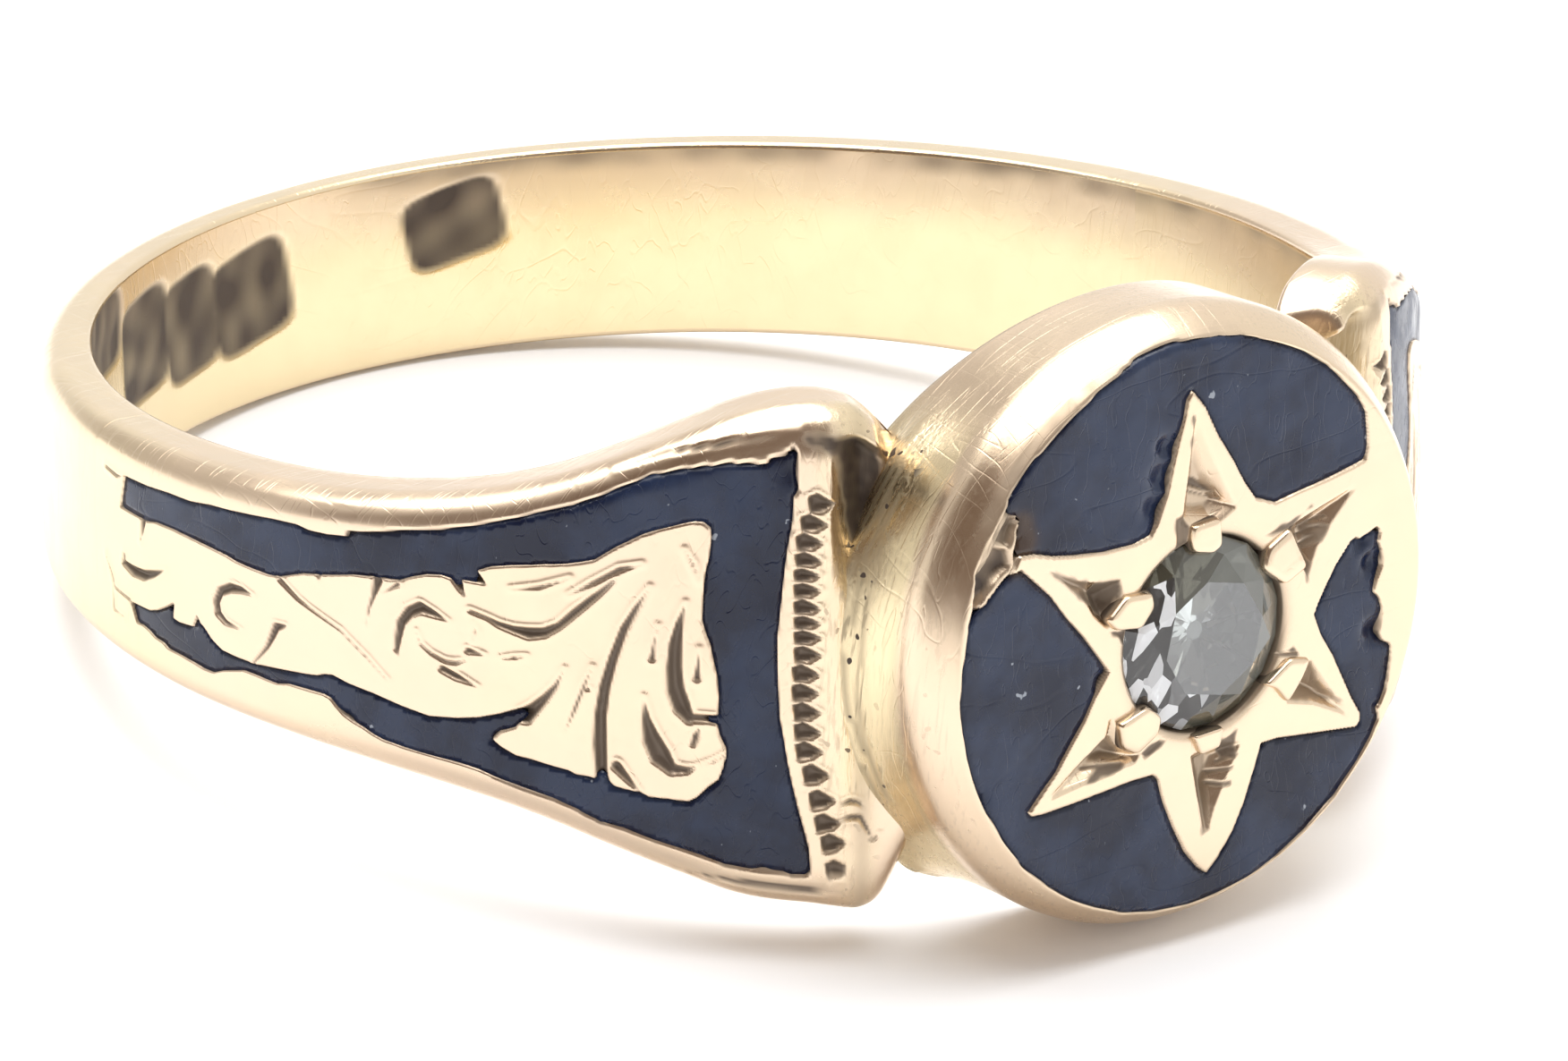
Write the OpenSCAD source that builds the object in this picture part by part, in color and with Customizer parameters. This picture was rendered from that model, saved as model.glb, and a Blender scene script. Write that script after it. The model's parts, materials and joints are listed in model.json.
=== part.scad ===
// A mourning ring with a round head, lying on its side as it rests by itself.
// Each piece is worked out in the ring's own frame: the finger hole runs along Z and the head
// faces -Y. Angles round the band are counted from the head, and both shoulders are alike.
// The last step lays the ring on the floor, where its head and the back of its band touch.

/* [Band] */
// Diameter of the finger hole
bore_d = 17.2; // [15:0.1:21]
// Thickness of the band at its back
back_t = 0.6; // [0.5:0.05:1]
// Thickness of the band where it runs under the head
front_t = 1.3; // [1.2:0.05:1.6]
// Width of the band at its back
back_w = 2.96; // [2.4:0.02:3.4]
// Greatest width of the shoulders, close to the head
shoulder_w = 6.84; // [6.2:0.02:7.2]
// Rounding of the band's outer edges
edge_r = 0.3; // [0.15:0.05:0.35]

/* [Head] */
// Diameter of the head at its rim
head_d = 8.5; // [8:0.1:9.4]
// Diameter of the head down at the finger hole
foot_d = 8.4; // [7.8:0.1:8.5]
// Height of the head's face above the finger hole
head_h = 1.8; // [1.6:0.1:2.4]
// Rounding of the head's rim
rim_r = 0.45; // [0.3:0.05:0.5]
// Width of the gold left round the head's enamel
rim_w = 0.35; // [0.3:0.05:0.5]

/* [Star] */
// Width of the enamel left outside the star's points
star_margin = 0.55; // [0.45:0.05:0.7]
// Diameter of the circle through the star's inner corners
waist_d = 3.8; // [3.6:0.1:4]
// How far the star sits below the middle of the head
star_drop = 0.14; // [0:0.02:0.2]
// How far the star sits to the right of the middle of the head
star_offset = 0.1; // [0:0.02:0.2]
// Width of the bright cut in each arm, where it starts beside the stone
cut_w = 0.6; // [0.4:0.05:0.7]
// Width of plain metal left past the sharp end of each bright cut
cut_margin = 0.5; // [0.3:0.05:0.7]
// Diameter of the grains that hold the stone
grain_d = 0.44; // [0.36:0.02:0.5]

/* [Stone] */
// Diameter of the stone at its girdle
stone_d = 2.5; // [2.2:0.05:2.6]
// Diameter of the stone's table
table_d = 1.4; // [1.1:0.05:1.6]
// Height of the crown above the girdle
crown_h = 0.36; // [0.25:0.01:0.45]
// Depth of the pavilion below the girdle
pavilion_h = 1; // [0.8:0.05:1.1]
// Diameter of the small flat at the bottom of the stone
culet_d = 0.3; // [0.2:0.05:0.4]
// Thickness of the girdle
girdle_h = 0.08; // [0.04:0.02:0.12]

/* [Enamel] */
// Depth of the enamel in the head and the shoulders
enamel_t = 0.3; // [0.2:0.05:0.4]
// Angle from the head at which a shoulder's enamel starts
panel_start_a = 31; // [29:1:34]
// Angle from the head at which a shoulder's enamel ends
panel_end_a = 94; // [84:1:100]
// How far the enamel's wide end curves in, as an angle at mid width
panel_hollow_a = 1.6; // [0:0.2:3]
// Width of the gold border along the shoulder's edges
border_w = 0.48; // [0.4:0.02:0.6]
// Gap that is left round every inlaid piece
seam = 0.03; // [0.02:0.01:0.05]

/* [Hidden] */
$fn = 96;

gold = [0.86, 0.68, 0.45];
navy = [0.10, 0.12, 0.20];
clear = [0.80, 0.85, 0.88, 0.6];

bore_r = bore_d / 2;
head_r = head_d / 2;
foot_r = foot_d / 2;
stone_r = stone_d / 2;
face_y = bore_r + head_h;
disc_r = head_r - rim_w;
star_r = disc_r - star_margin;

// The band's outside is a circle set a little forward of the finger hole.
outer_r = bore_r + (back_t + front_t) / 2;
outer_shift = (front_t - back_t) / 2;
function band_r(a) = outer_shift * cos(a) + sqrt(pow(outer_r, 2) - pow(outer_shift * sin(a), 2));

// Half width of the band round the finger, as a share of the way from the back to the shoulders.
// Columns: angle from the head, share
width_rows = [
    [0, 0.35], [20, 0.50], [22, 0.67], [24, 0.84], [26, 0.95], [30, 1], [35, 0.935], [40, 0.775],
    [45, 0.61], [50, 0.455], [55, 0.34], [61, 0.25], [70, 0.165], [85, 0.10], [110, 0.035],
    [140, 0], [180, 0]
];
function folded(a) = abs(a) > 180 ? 360 - abs(a) : abs(a);
function half_w(a) = back_w / 2 + (shoulder_w - back_w) / 2 * eased(width_rows, folded(a));

// Reads a table at x along a smooth curve that passes through its rows.
function slope(rows, i) = (i == 0 || i == len(rows) - 1) ? 0
    : (rows[i + 1][1] - rows[i - 1][1]) / (rows[i + 1][0] - rows[i - 1][0]);
function row_below(rows, x, i = 0) = (i >= len(rows) - 2 || x < rows[i + 1][0]) ? i
    : row_below(rows, x, i + 1);
function hermite(t, step, v0, v1, d0, d1) =
    v0 * (2 * pow(t, 3) - 3 * pow(t, 2) + 1) + d0 * step * (pow(t, 3) - 2 * pow(t, 2) + t)
    + v1 * (3 * pow(t, 2) - 2 * pow(t, 3)) + d1 * step * (pow(t, 3) - pow(t, 2));
function eased(rows, x) =
    let (i = row_below(rows, x), step = rows[i + 1][0] - rows[i][0])
    hermite((x - rows[i][0]) / step, step, rows[i][1], rows[i + 1][1], slope(rows, i), slope(rows, i + 1));

// The resting pose: the head and the band's lower edge at the back touch the floor. The head meets
// it with its rim, or with its foot where the finger hole ends it, whichever reaches lower.
rim_y = face_y - rim_r;
rim_z = head_r - rim_r;
back_y = band_r(180) - edge_r;
back_z = back_w / 2 - edge_r;
function tilt_on(y, z, r) = atan2(z - back_z, y + back_y)
    + asin((r - edge_r) / norm([y + back_y, z - back_z]));
rest_tilt = max(tilt_on(rim_y, rim_z, rim_r), tilt_on(bore_r, foot_r, 0));
floor_drop = back_z * cos(rest_tilt) + back_y * sin(rest_tilt) + edge_r;
front_reach = rim_y * cos(rest_tilt) + rim_z * sin(rest_tilt) + rim_r;
back_reach = back_y * cos(rest_tilt) + back_z * sin(rest_tilt) + edge_r;
module resting() translate([0, (front_reach - back_reach) / 2, floor_drop])
    rotate([-rest_tilt, 0, 0]) children();

// The band: cross-sections with rounded outer edges, swept round the finger.
section_angles = [for (a = [-180:6:-60]) a, for (a = [-57:3:57]) a, for (a = [60:6:174]) a];
edge_steps = 4;
function section(a) =
    let (r = band_r(a) - edge_r, w = half_w(a) - edge_r, inside = bore_r - front_t / 2)
    concat(
        [[inside, -w - edge_r]],
        [for (i = [0:edge_steps]) let (t = 90 * i / edge_steps) [r + edge_r * sin(t), -w - edge_r * cos(t)]],
        [for (i = [0:edge_steps]) let (t = 90 * i / edge_steps) [r + edge_r * cos(t), w + edge_r * sin(t)]],
        [[inside, w + edge_r]]
    );
module band_sweep() {
    rings = [for (a = section_angles) [for (p = section(a)) [p[0] * sin(a), -p[0] * cos(a), p[1]]]];
    n = len(rings[0]);
    m = len(rings);
    points = [for (ring = rings) each ring];
    faces = [for (i = [0:m - 1], j = [0:n - 1])
        let (here = i * n, next = ((i + 1) % m) * n, k = (j + 1) % n)
        each [[here + j, here + k, next + k], [here + j, next + k, next + j]]];
    polyhedron(points, faces, convexity = 6);
}

// The head: a low round cup, a little wider at its rim.
module head_cup() rotate([90, 0, 0]) rotate_extrude() {
    polygon([[0, 0], [foot_r, 0], [foot_r, bore_r], [head_r, rim_y], [rim_z, rim_y], [0, rim_y]]);
    square([rim_z, face_y]);
    intersection() {
        translate([rim_z, rim_y]) circle(rim_r);
        square([head_r, face_y]);
    }
}

// Places its children on the face of the head, drawn in X and Y and rising along Z.
module on_face() translate([0, -face_y, 0]) rotate([90, 0, 0]) children();
module at_star() translate([star_offset, -star_drop, 0]) children();
module on_star() on_face() at_star() children();

// The star is cut by hand, so no two of its arms are quite alike.
// Columns: angle of an arm's point, its share of the star's radius, angle of the corner after it,
// that corner's share of the waist's radius
star_rows = [
    [92, 1, 113, 0.94], [151.5, 1, 187, 0.82], [213, 1.01, 248, 0.99],
    [272, 1, 301, 1.07], [326.5, 1, 355.5, 1.05], [390, 1.04, 418, 1]
];
function polar(a, r) = [r * cos(a), r * sin(a)];
star_outline = [for (row = star_rows)
    each [polar(row[0], row[1] * star_r), polar(row[2], row[3] * waist_d / 2)]];

// The recess for the enamel round the star.
module disc_recess() on_face() difference() {
    translate([0, 0, -enamel_t]) cylinder(r = disc_r, h = 2 * enamel_t);
    at_star() translate([0, 0, -2 * enamel_t]) linear_extrude(4 * enamel_t) polygon(star_outline);
}

// One bright cut: a square bar on edge, which leaves the metal at the sharp end.
cut_start = stone_r + seam;
cut_end = star_r - cut_margin;
cut_pitch = atan(cut_w / 2 / (cut_end - cut_start));
module bright_cut() translate([cut_end, 0, 0]) rotate([0, -cut_pitch, 0]) rotate([45, 0, 0])
    translate([-star_r, 0, 0]) cube([2 * star_r, star_r, star_r]);
module bright_cuts() intersection() {
    for (row = star_rows) rotate(row[0]) bright_cut();
    translate([0, 0, -enamel_t]) cylinder(r = cut_end, h = 2 * enamel_t);
}

// The grains stand in the wide ends of the cuts, just clear of the stone.
grain_at = stone_r + 2 * seam + grain_d / 2;
module grains() for (row = star_rows) rotate(row[0])
    translate([grain_at, 0, -grain_d / 5]) sphere(d = grain_d, $fn = 24);

// The seat follows the stone, which stands proud of the face by its crown.
seat_floor = girdle_h + pavilion_h;
module stone_seat() {
    translate([0, 0, -girdle_h - seam]) cylinder(r = stone_r + seam, h = girdle_h + crown_h + seam);
    translate([0, 0, -seat_floor - seam])
        cylinder(r1 = culet_d / 2 + seam, r2 = stone_r + seam, h = pavilion_h);
}

// The shoulder's enamel is drawn flat, square to the middle of its panel, with x along the band
// towards the back and y across it, and meets the band's outer circle where it is pushed in.
panel_mid_a = (panel_start_a + panel_end_a) / 2;
panel_steps = 16;
hollow_steps = 3;
function panel_a(share) = panel_start_a + share * (panel_end_a - panel_start_a);
function panel_half(a) = half_w(a) - border_w;
function flat(a, z) = [band_r(a) * sin(a - panel_mid_a), z];
function panel_edge(side, steps) = [for (i = steps)
    let (a = panel_a(i / panel_steps)) flat(a, side * panel_half(a))];
panel_outline = concat(
    panel_edge(-1, [0:panel_steps]),
    panel_edge(1, [panel_steps:-1:0]),
    [for (i = [hollow_steps - 1:-1:1 - hollow_steps]) let (across = i / hollow_steps)
        flat(panel_start_a + panel_hollow_a * (1 - pow(across, 2)), across * panel_half(panel_start_a))]
);

// The gold leaf scroll that is left standing in the enamel, from the band's back along its upper
// side to the tip, down the wide end, and back along its lower side.
// Columns: share of the panel's length from its wide end, share of its half width, 1 at a corner
scroll_rows = [
    [1.04, 0.49, 0], [0.905, 0.49, 0], [0.79, 0.41, 0], [0.725, 0.32, 0], [0.66, 0.40, 0],
    [0.575, 0.47, 0], [0.51, 0.48, 0], [0.47, 0.56, 0], [0.435, 0.57, 0], [0.405, 0.52, 0],
    [0.39, 0.61, 1], [0.35, 0.64, 0], [0.275, 0.60, 0], [0.225, 0.64, 0], [0.18, 0.70, 0],
    [0.118, 0.725, 0], [0.102, 0.695, 1], [0.108, 0.49, 0], [0.115, 0.27, 0], [0.107, 0.09, 0],
    [0.094, -0.11, 0], [0.096, -0.28, 1], [0.083, -0.41, 0], [0.09, -0.56, 0], [0.118, -0.71, 0],
    [0.165, -0.76, 0], [0.198, -0.735, 0], [0.212, -0.64, 1], [0.231, -0.76, 1], [0.292, -0.78, 0],
    [0.373, -0.74, 1], [0.335, -0.51, 1], [0.387, -0.61, 0], [0.462, -0.71, 0], [0.547, -0.65, 0],
    [0.64, -0.60, 0], [0.726, -0.71, 0], [0.792, -0.67, 0], [0.835, -0.42, 1], [0.868, -0.52, 0],
    [0.943, -0.62, 0], [1.04, -0.62, 1]
];
scroll_steps = 3;
scroll_nodes = [for (row = scroll_rows) let (a = panel_a(row[0])) flat(a, row[1] * panel_half(a))];
function around(list, i) = list[(i + len(list)) % len(list)];
function tangent(i) = around(scroll_rows, i)[2] == 1 ? [0, 0]
    : (around(scroll_nodes, i + 1) - around(scroll_nodes, i - 1)) / 2;
scroll_curve = [for (i = [0:len(scroll_rows) - 1], k = [0:scroll_steps - 1])
    hermite(k / scroll_steps, 1, scroll_nodes[i], around(scroll_nodes, i + 1), tangent(i), tangent(i + 1))];

module on_shoulder(depth) rotate([0, 0, 180 - panel_mid_a]) rotate([90, 0, 0])
    translate([0, 0, -depth]) linear_extrude(depth) children();
module outer_ring(inner_r, outside_r) translate([0, -outer_shift, -shoulder_w / 2]) difference() {
    cylinder(r = outside_r, h = shoulder_w, $fn = 180);
    translate([0, 0, -1]) cylinder(r = inner_r, h = shoulder_w + 2, $fn = 180);
}
module shoulder_recess() intersection() {
    outer_ring(outer_r - enamel_t, outer_r + front_t);
    on_shoulder(outer_r + 2 * front_t) difference() {
        polygon(panel_outline);
        polygon(scroll_curve);
    }
}

// One soldered piece of gold: band, shoulders, head, star and grains.
module ring_body() color(gold) resting() {
    difference() {
        union() {
            band_sweep();
            head_cup();
        }
        translate([0, 0, -head_d]) cylinder(r = bore_r, h = 2 * head_d, $fn = 180);
        disc_recess();
        on_star() bright_cuts();
        on_star() stone_seat();
        shoulder_recess();
        mirror([1, 0, 0]) shoulder_recess();
    }
    on_star() grains();
}

module head_enamel() color(navy) resting() on_face() difference() {
    translate([0, 0, seam - enamel_t]) cylinder(r = disc_r - seam, h = enamel_t - 2 * seam);
    at_star() translate([0, 0, -2 * enamel_t]) linear_extrude(4 * enamel_t)
        offset(delta = seam) polygon(star_outline);
}

module shoulder_enamel() intersection() {
    outer_ring(outer_r - enamel_t + seam, outer_r - seam);
    on_shoulder(outer_r + 2 * front_t) offset(delta = -seam) difference() {
        polygon(panel_outline);
        polygon(scroll_curve);
    }
}
module shoulder_enamel_left() color(navy) resting() shoulder_enamel();
module shoulder_enamel_right() color(navy) resting() mirror([1, 0, 0]) shoulder_enamel();

// An old-cut stone: eight-sided table and culet, sixteen-sided girdle.
function stone_ring(sides, r, z) = [for (i = [0:sides - 1])
    let (a = 360 * i / sides) [r * cos(a), r * sin(a), z]];
module diamond() color(clear) resting() on_star() {
    table = 0;
    top = 8;
    low = 24;
    culet = 40;
    points = concat(stone_ring(8, table_d / 2, crown_h), stone_ring(16, stone_r, 0),
        stone_ring(16, stone_r, -girdle_h), stone_ring(8, culet_d / 2, -seat_floor));
    crown = [for (i = [0:7]) let (t = table + i, u = table + (i + 1) % 8, g = top + 2 * i)
        each [[t, g, top + (2 * i + 15) % 16], [t, g + 1, g], [t, u, g + 1]]];
    girdle = [for (i = [0:15]) [top + i, top + (i + 1) % 16, low + (i + 1) % 16, low + i]];
    pavilion = [for (i = [0:7]) let (c = culet + i, u = culet + (i + 1) % 8, g = low + 2 * i)
        each [[c, low + (2 * i + 15) % 16, g], [c, g, g + 1], [c, g + 1, u]]];
    flats = [[for (i = [7:-1:0]) table + i], [for (i = [0:7]) culet + i]];
    polyhedron(points, concat(flats, crown, girdle, pavilion));
}

ring_body();
head_enamel();
shoulder_enamel_left();
shoulder_enamel_right();
diamond();
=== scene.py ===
import json
import math
import bmesh
import bpy
import numpy as np
from mathutils import Matrix


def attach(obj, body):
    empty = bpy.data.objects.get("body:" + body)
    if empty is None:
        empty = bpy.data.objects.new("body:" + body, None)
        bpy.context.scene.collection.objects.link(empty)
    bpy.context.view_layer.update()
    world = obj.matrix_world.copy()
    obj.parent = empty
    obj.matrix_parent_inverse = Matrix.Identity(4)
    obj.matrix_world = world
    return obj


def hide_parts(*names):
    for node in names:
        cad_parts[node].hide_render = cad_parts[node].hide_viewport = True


# A mourning ring lying on its side: gold band, enamelled shoulders, round head with a star.
# Shapes are worked out in millimetres in the ring's own frame, where the finger hole runs
# along Z and the head faces -Y. toScene lays them on the floor as the frame does.
# Angles round the band are degrees from the head; distances along it are taken at arcRadius.
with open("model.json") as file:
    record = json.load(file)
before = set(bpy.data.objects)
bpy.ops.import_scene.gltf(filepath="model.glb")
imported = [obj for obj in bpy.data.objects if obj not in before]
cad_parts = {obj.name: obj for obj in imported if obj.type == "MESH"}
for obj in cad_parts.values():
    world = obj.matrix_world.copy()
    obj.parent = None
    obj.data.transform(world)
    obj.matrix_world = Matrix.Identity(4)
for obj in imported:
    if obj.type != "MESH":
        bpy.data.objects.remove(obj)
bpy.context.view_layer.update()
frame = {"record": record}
boreMount = frame["record"]["mounts"][0]
tiltSin, tiltCos = boreMount["axis"][1], boreMount["axis"][2]
ringCentre = [1000 * value for value in boreMount["pos_m"]]
boreRadius = boreMount["dims"]["r_mm"]
arcRadius = 9.65   # mm
print("frame loaded, finger hole", 2 * boreRadius, "mm")


# Small tools

def toScene(points):
    # turns ring-frame millimetres about X by the resting tilt, moves them and makes them metres
    x, y, z = points[..., 0], points[..., 1], points[..., 2]
    laid = np.stack([x + ringCentre[0], y * tiltCos + z * tiltSin + ringCentre[1],
                     z * tiltCos - y * tiltSin + ringCentre[2]], -1)
    return laid * 0.001


def smooth(share):
    share = np.clip(share, 0, 1)
    return share * share * (3 - 2 * share)


def readTable(rows, x):
    # a smooth curve through a table's rows: cubic pieces with slopes taken from the neighbours
    table = np.array(rows, float)
    xs, ys = table[:, 0], table[:, 1]
    slopes = np.zeros(len(xs))
    slopes[1:-1] = (ys[2:] - ys[:-2]) / (xs[2:] - xs[:-2])
    i = np.clip(np.searchsorted(xs, x, side="right") - 1, 0, len(xs) - 2)
    step = xs[i + 1] - xs[i]
    t = (x - xs[i]) / step
    return (ys[i] * (2 * t**3 - 3 * t**2 + 1) + slopes[i] * step * (t**3 - 2 * t**2 + t)
            + ys[i + 1] * (3 * t**2 - 2 * t**3) + slopes[i + 1] * step * (t**3 - t**2))


def insideDistance(x, z, corners):
    # distance to a closed outline's nearest side, positive inside it, by counting crossings
    best = np.full(x.shape, 1e9)
    odd = np.zeros(x.shape, bool)
    ends = np.roll(np.array(corners, float), -1, 0)
    for (ax, az), (bx, bz) in zip(corners, ends):
        dx, dz = bx - ax, bz - az
        share = np.clip(((x - ax) * dx + (z - az) * dz) / max(dx * dx + dz * dz, 1e-12), 0, 1)
        best = np.minimum(best, np.hypot(x - ax - share * dx, z - az - share * dz))
        crosses = (az > z) != (bz > z)
        odd ^= crosses & (x < ax + (z - az) * dx / (dz if abs(dz) > 1e-12 else 1e-12))
    return np.where(odd, best, -best)


def cutDistance(x, z, points):
    # how far inside a tapering cut a place lies: half the cut's width there less the distance
    # to its middle line; a cut's points are x, z and full width
    best = np.full(x.shape, -1e9)
    for (ax, az, aw), (bx, bz, bw) in zip(points[:-1], points[1:]):
        dx, dz = bx - ax, bz - az
        share = np.clip(((x - ax) * dx + (z - az) * dz) / max(dx * dx + dz * dz, 1e-12), 0, 1)
        away = np.hypot(x - ax - share * dx, z - az - share * dz)
        best = np.maximum(best, (aw + share * (bw - aw)) / 2 - away)
    return best


def ripple(x, z, seed, size):
    # a soft uneven surface: eight sine waves of mixed direction and phase, about -1 to 1
    draw = np.random.default_rng(seed)
    total = np.zeros(np.broadcast(x, z).shape)
    for angle, phase, stretch in zip(draw.uniform(0, np.pi, 8), draw.uniform(0, 6.28, 8),
                                     draw.uniform(0.6, 1.7, 8)):
        total += np.sin(6.283 * stretch / size * (x * np.cos(angle) + z * np.sin(angle)) + phase)
    return total / 3.2


def gridFaces(rows, columns):
    # quads of a grid whose columns run round a closed loop
    i = np.arange(rows - 1)[:, None] * columns
    j = np.arange(columns)[None, :]
    k = (j + 1) % columns
    return np.stack([i + j, i + k, i + columns + k, i + columns + j], -1).reshape(-1, 4)


def closedGrid(rows, columns):
    # such a grid with a fan from its first loop to the first point after the grid, and from its
    # last loop to the second one
    ring = np.arange(columns)
    following = (ring + 1) % columns
    first, last = rows * columns, (rows - 1) * columns
    return np.concatenate([
        gridFaces(rows, columns), np.stack([following, ring, 0 * ring + first, 0 * ring + first], -1),
        np.stack([last + ring, last + following, 0 * ring + first + 1, 0 * ring + first + 1], -1)])


def facingOut(points, quads):
    # turns all faces round where the volume that they enclose comes out negative
    a, b, c, d = (points[quads[:, n]] for n in range(4))
    volume = np.einsum("ij,ij->", a, np.cross(b, c)) + np.einsum("ij,ij->", a, np.cross(c, d))
    return quads if volume > 0 else quads[:, ::-1]


def makePiece(name, points, quads, material, marks, flatFaces=0):
    # points in ring-frame mm; a quad that repeats a corner is a triangle; the last flatFaces
    # faces are shaded flat; marks are values at the points
    quads = facingOut(points, quads)
    faces = [list(dict.fromkeys(quad)) for quad in quads.tolist()]
    mesh = bpy.data.meshes.new(name)
    mesh.from_pydata(toScene(points), [], faces)
    mesh.polygons.foreach_set("use_smooth", np.arange(len(faces)) < len(faces) - flatFaces)
    for markName, values in marks.items():
        layer = mesh.attributes.new(markName, "FLOAT", "POINT")
        layer.data.foreach_set("value", np.asarray(values, np.float32))
    mesh.materials.append(material)
    return linkPiece(name, mesh)


def linkPiece(name, mesh):
    mesh.update()
    mesh.validate()
    piece = bpy.data.objects.new(name, mesh)
    bpy.context.scene.collection.objects.link(piece)
    print(name, len(mesh.vertices), "points", len(mesh.polygons), "faces")
    return piece


def mirrored(points):
    return points * [-1, 1, 1]


# Materials

def addNodes(tree, **kinds):
    # each is a name with its node type and settings: a property, or an input's name or number
    made = {}
    for name, (kind, values) in kinds.items():
        made[name] = node = tree.nodes.new("ShaderNode" + kind)
        for key, value in values.items():
            if isinstance(key, str) and hasattr(node, key):
                setattr(node, key, value)
            else:
                node.inputs[key].default_value = value
    return made


def wire(tree, nodes, *links):
    # each link reads "node.output > node.input", with the sockets by name or by number
    def pick(sockets, key):
        return sockets[int(key) if key.isdigit() else key]

    for link in links:
        (source, outKey), (target, inKey) = [end.split(".") for end in link.split(" > ")]
        tree.links.new(pick(nodes[source].outputs, outKey), pick(nodes[target].inputs, inKey))


def newGroup(name, inputs, output):
    # a node group that takes a vector and the named numbers, and gives one number
    group = bpy.data.node_groups.new(name, "ShaderNodeTree")
    group.interface.new_socket("Vector", in_out="INPUT", socket_type="NodeSocketVector")
    for key, value in inputs.items():
        socket = group.interface.new_socket(key, in_out="INPUT", socket_type="NodeSocketFloat")
        socket.default_value = value
    group.interface.new_socket(output, in_out="OUTPUT", socket_type="NodeSocketFloat")
    return group, {"in": group.nodes.new("NodeGroupInput"), "out": group.nodes.new("NodeGroupOutput")}


def makeMottle():
    # soft uneven patches: two noises of different size, mixed and spread between two values
    group, n = newGroup("surface mottle", {"Scale": 900.0, "Low": 0.0, "High": 1.0}, "Value")
    n |= addNodes(group, broad=("TexNoise", {"Detail": 3.0}), fine=("TexNoise", {"Detail": 4.0}),
                  times=("Math", {"operation": "MULTIPLY", 1: 4.3}),
                  both=("Math", {"operation": "MULTIPLY_ADD", 1: 0.35}),
                  spread=("MapRange", {"interpolation_type": "SMOOTHSTEP", 1: 0.5, 2: 0.85}))
    wire(group, n, "in.Vector > broad.Vector", "in.Vector > fine.Vector", "in.Scale > broad.Scale",
         "in.Scale > times.0", "times.0 > fine.Scale", "fine.0 > both.0", "broad.0 > both.2",
         "both.0 > spread.0", "in.Low > spread.3", "in.High > spread.4", "spread.0 > out.Value")
    return group


def makeScratches():
    # hairline scratches: two thin contour bands of stretched noise laid across each other
    group, n = newGroup("fine scratches", {"Scale": 1.0, "Width": 0.02}, "Mask")
    n |= addNodes(group, most=("Math", {"operation": "MAXIMUM"}))
    lays = (((0.3, 0.2, 0.5), (260, 5200, 900)), ((-0.5, 0.7, 1.9), (3900, 300, 1300)))
    for number, (turn, stretch) in enumerate(lays):
        n |= addNodes(group, lay=("Mapping", {"Rotation": turn, "Scale": stretch}),
                      noise=("TexNoise", {"Detail": 1.0}), off=("Math", {"operation": "SUBTRACT", 1: 0.5}),
                      size=("Math", {"operation": "ABSOLUTE"}), line=("MapRange", {1: 0.0, 3: 1.0, 4: 0.0}))
        wire(group, n, "in.Vector > lay.0", "lay.0 > noise.Vector", "in.Scale > noise.Scale",
             "noise.0 > off.0", "off.0 > size.0", "size.0 > line.0", "in.Width > line.2",
             f"line.0 > most.{number}")
    wire(group, n, "most.0 > out.Mask")
    return group


mottle, scratches = makeMottle(), makeScratches()


def newMaterial(name, **groups):
    # a material with its shader, the object's coordinates, and the named groups laid on them
    material = bpy.data.materials.new(name)
    material.use_nodes = True
    tree = material.node_tree
    nodes = {"shader": tree.nodes["Principled BSDF"], "where": tree.nodes.new("ShaderNodeTexCoord")}
    for key, (group, values) in groups.items():
        nodes[key] = node = tree.nodes.new("ShaderNodeGroup")
        node.node_tree = group
        for socket, value in values.items():
            node.inputs[socket].default_value = value
        wire(tree, nodes, f"where.Object > {key}.Vector")
    return material, tree, nodes


goldFinish = {
    "peach": (0.775, 0.608, 0.450, 1), "pale": (0.800, 0.662, 0.420, 1), "paleByPatch": 0.16,
    "patchScale": 420.0, "roughLow": 0.21, "roughHigh": 0.27, "roughScale": 1300.0,
    "grime": (0.070, 0.050, 0.038, 1), "grimeRough": 0.35, "grimeMetal": -0.75, "scratchWidth": 0.018,
    "fileScale": (16000, 16000, 900), "fileGrime": 0.50, "spotScale": 6500.0, "scratchDepth": -0.12,
    "bump": 0.5, "bumpHeight": 0.00002,
}


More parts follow.
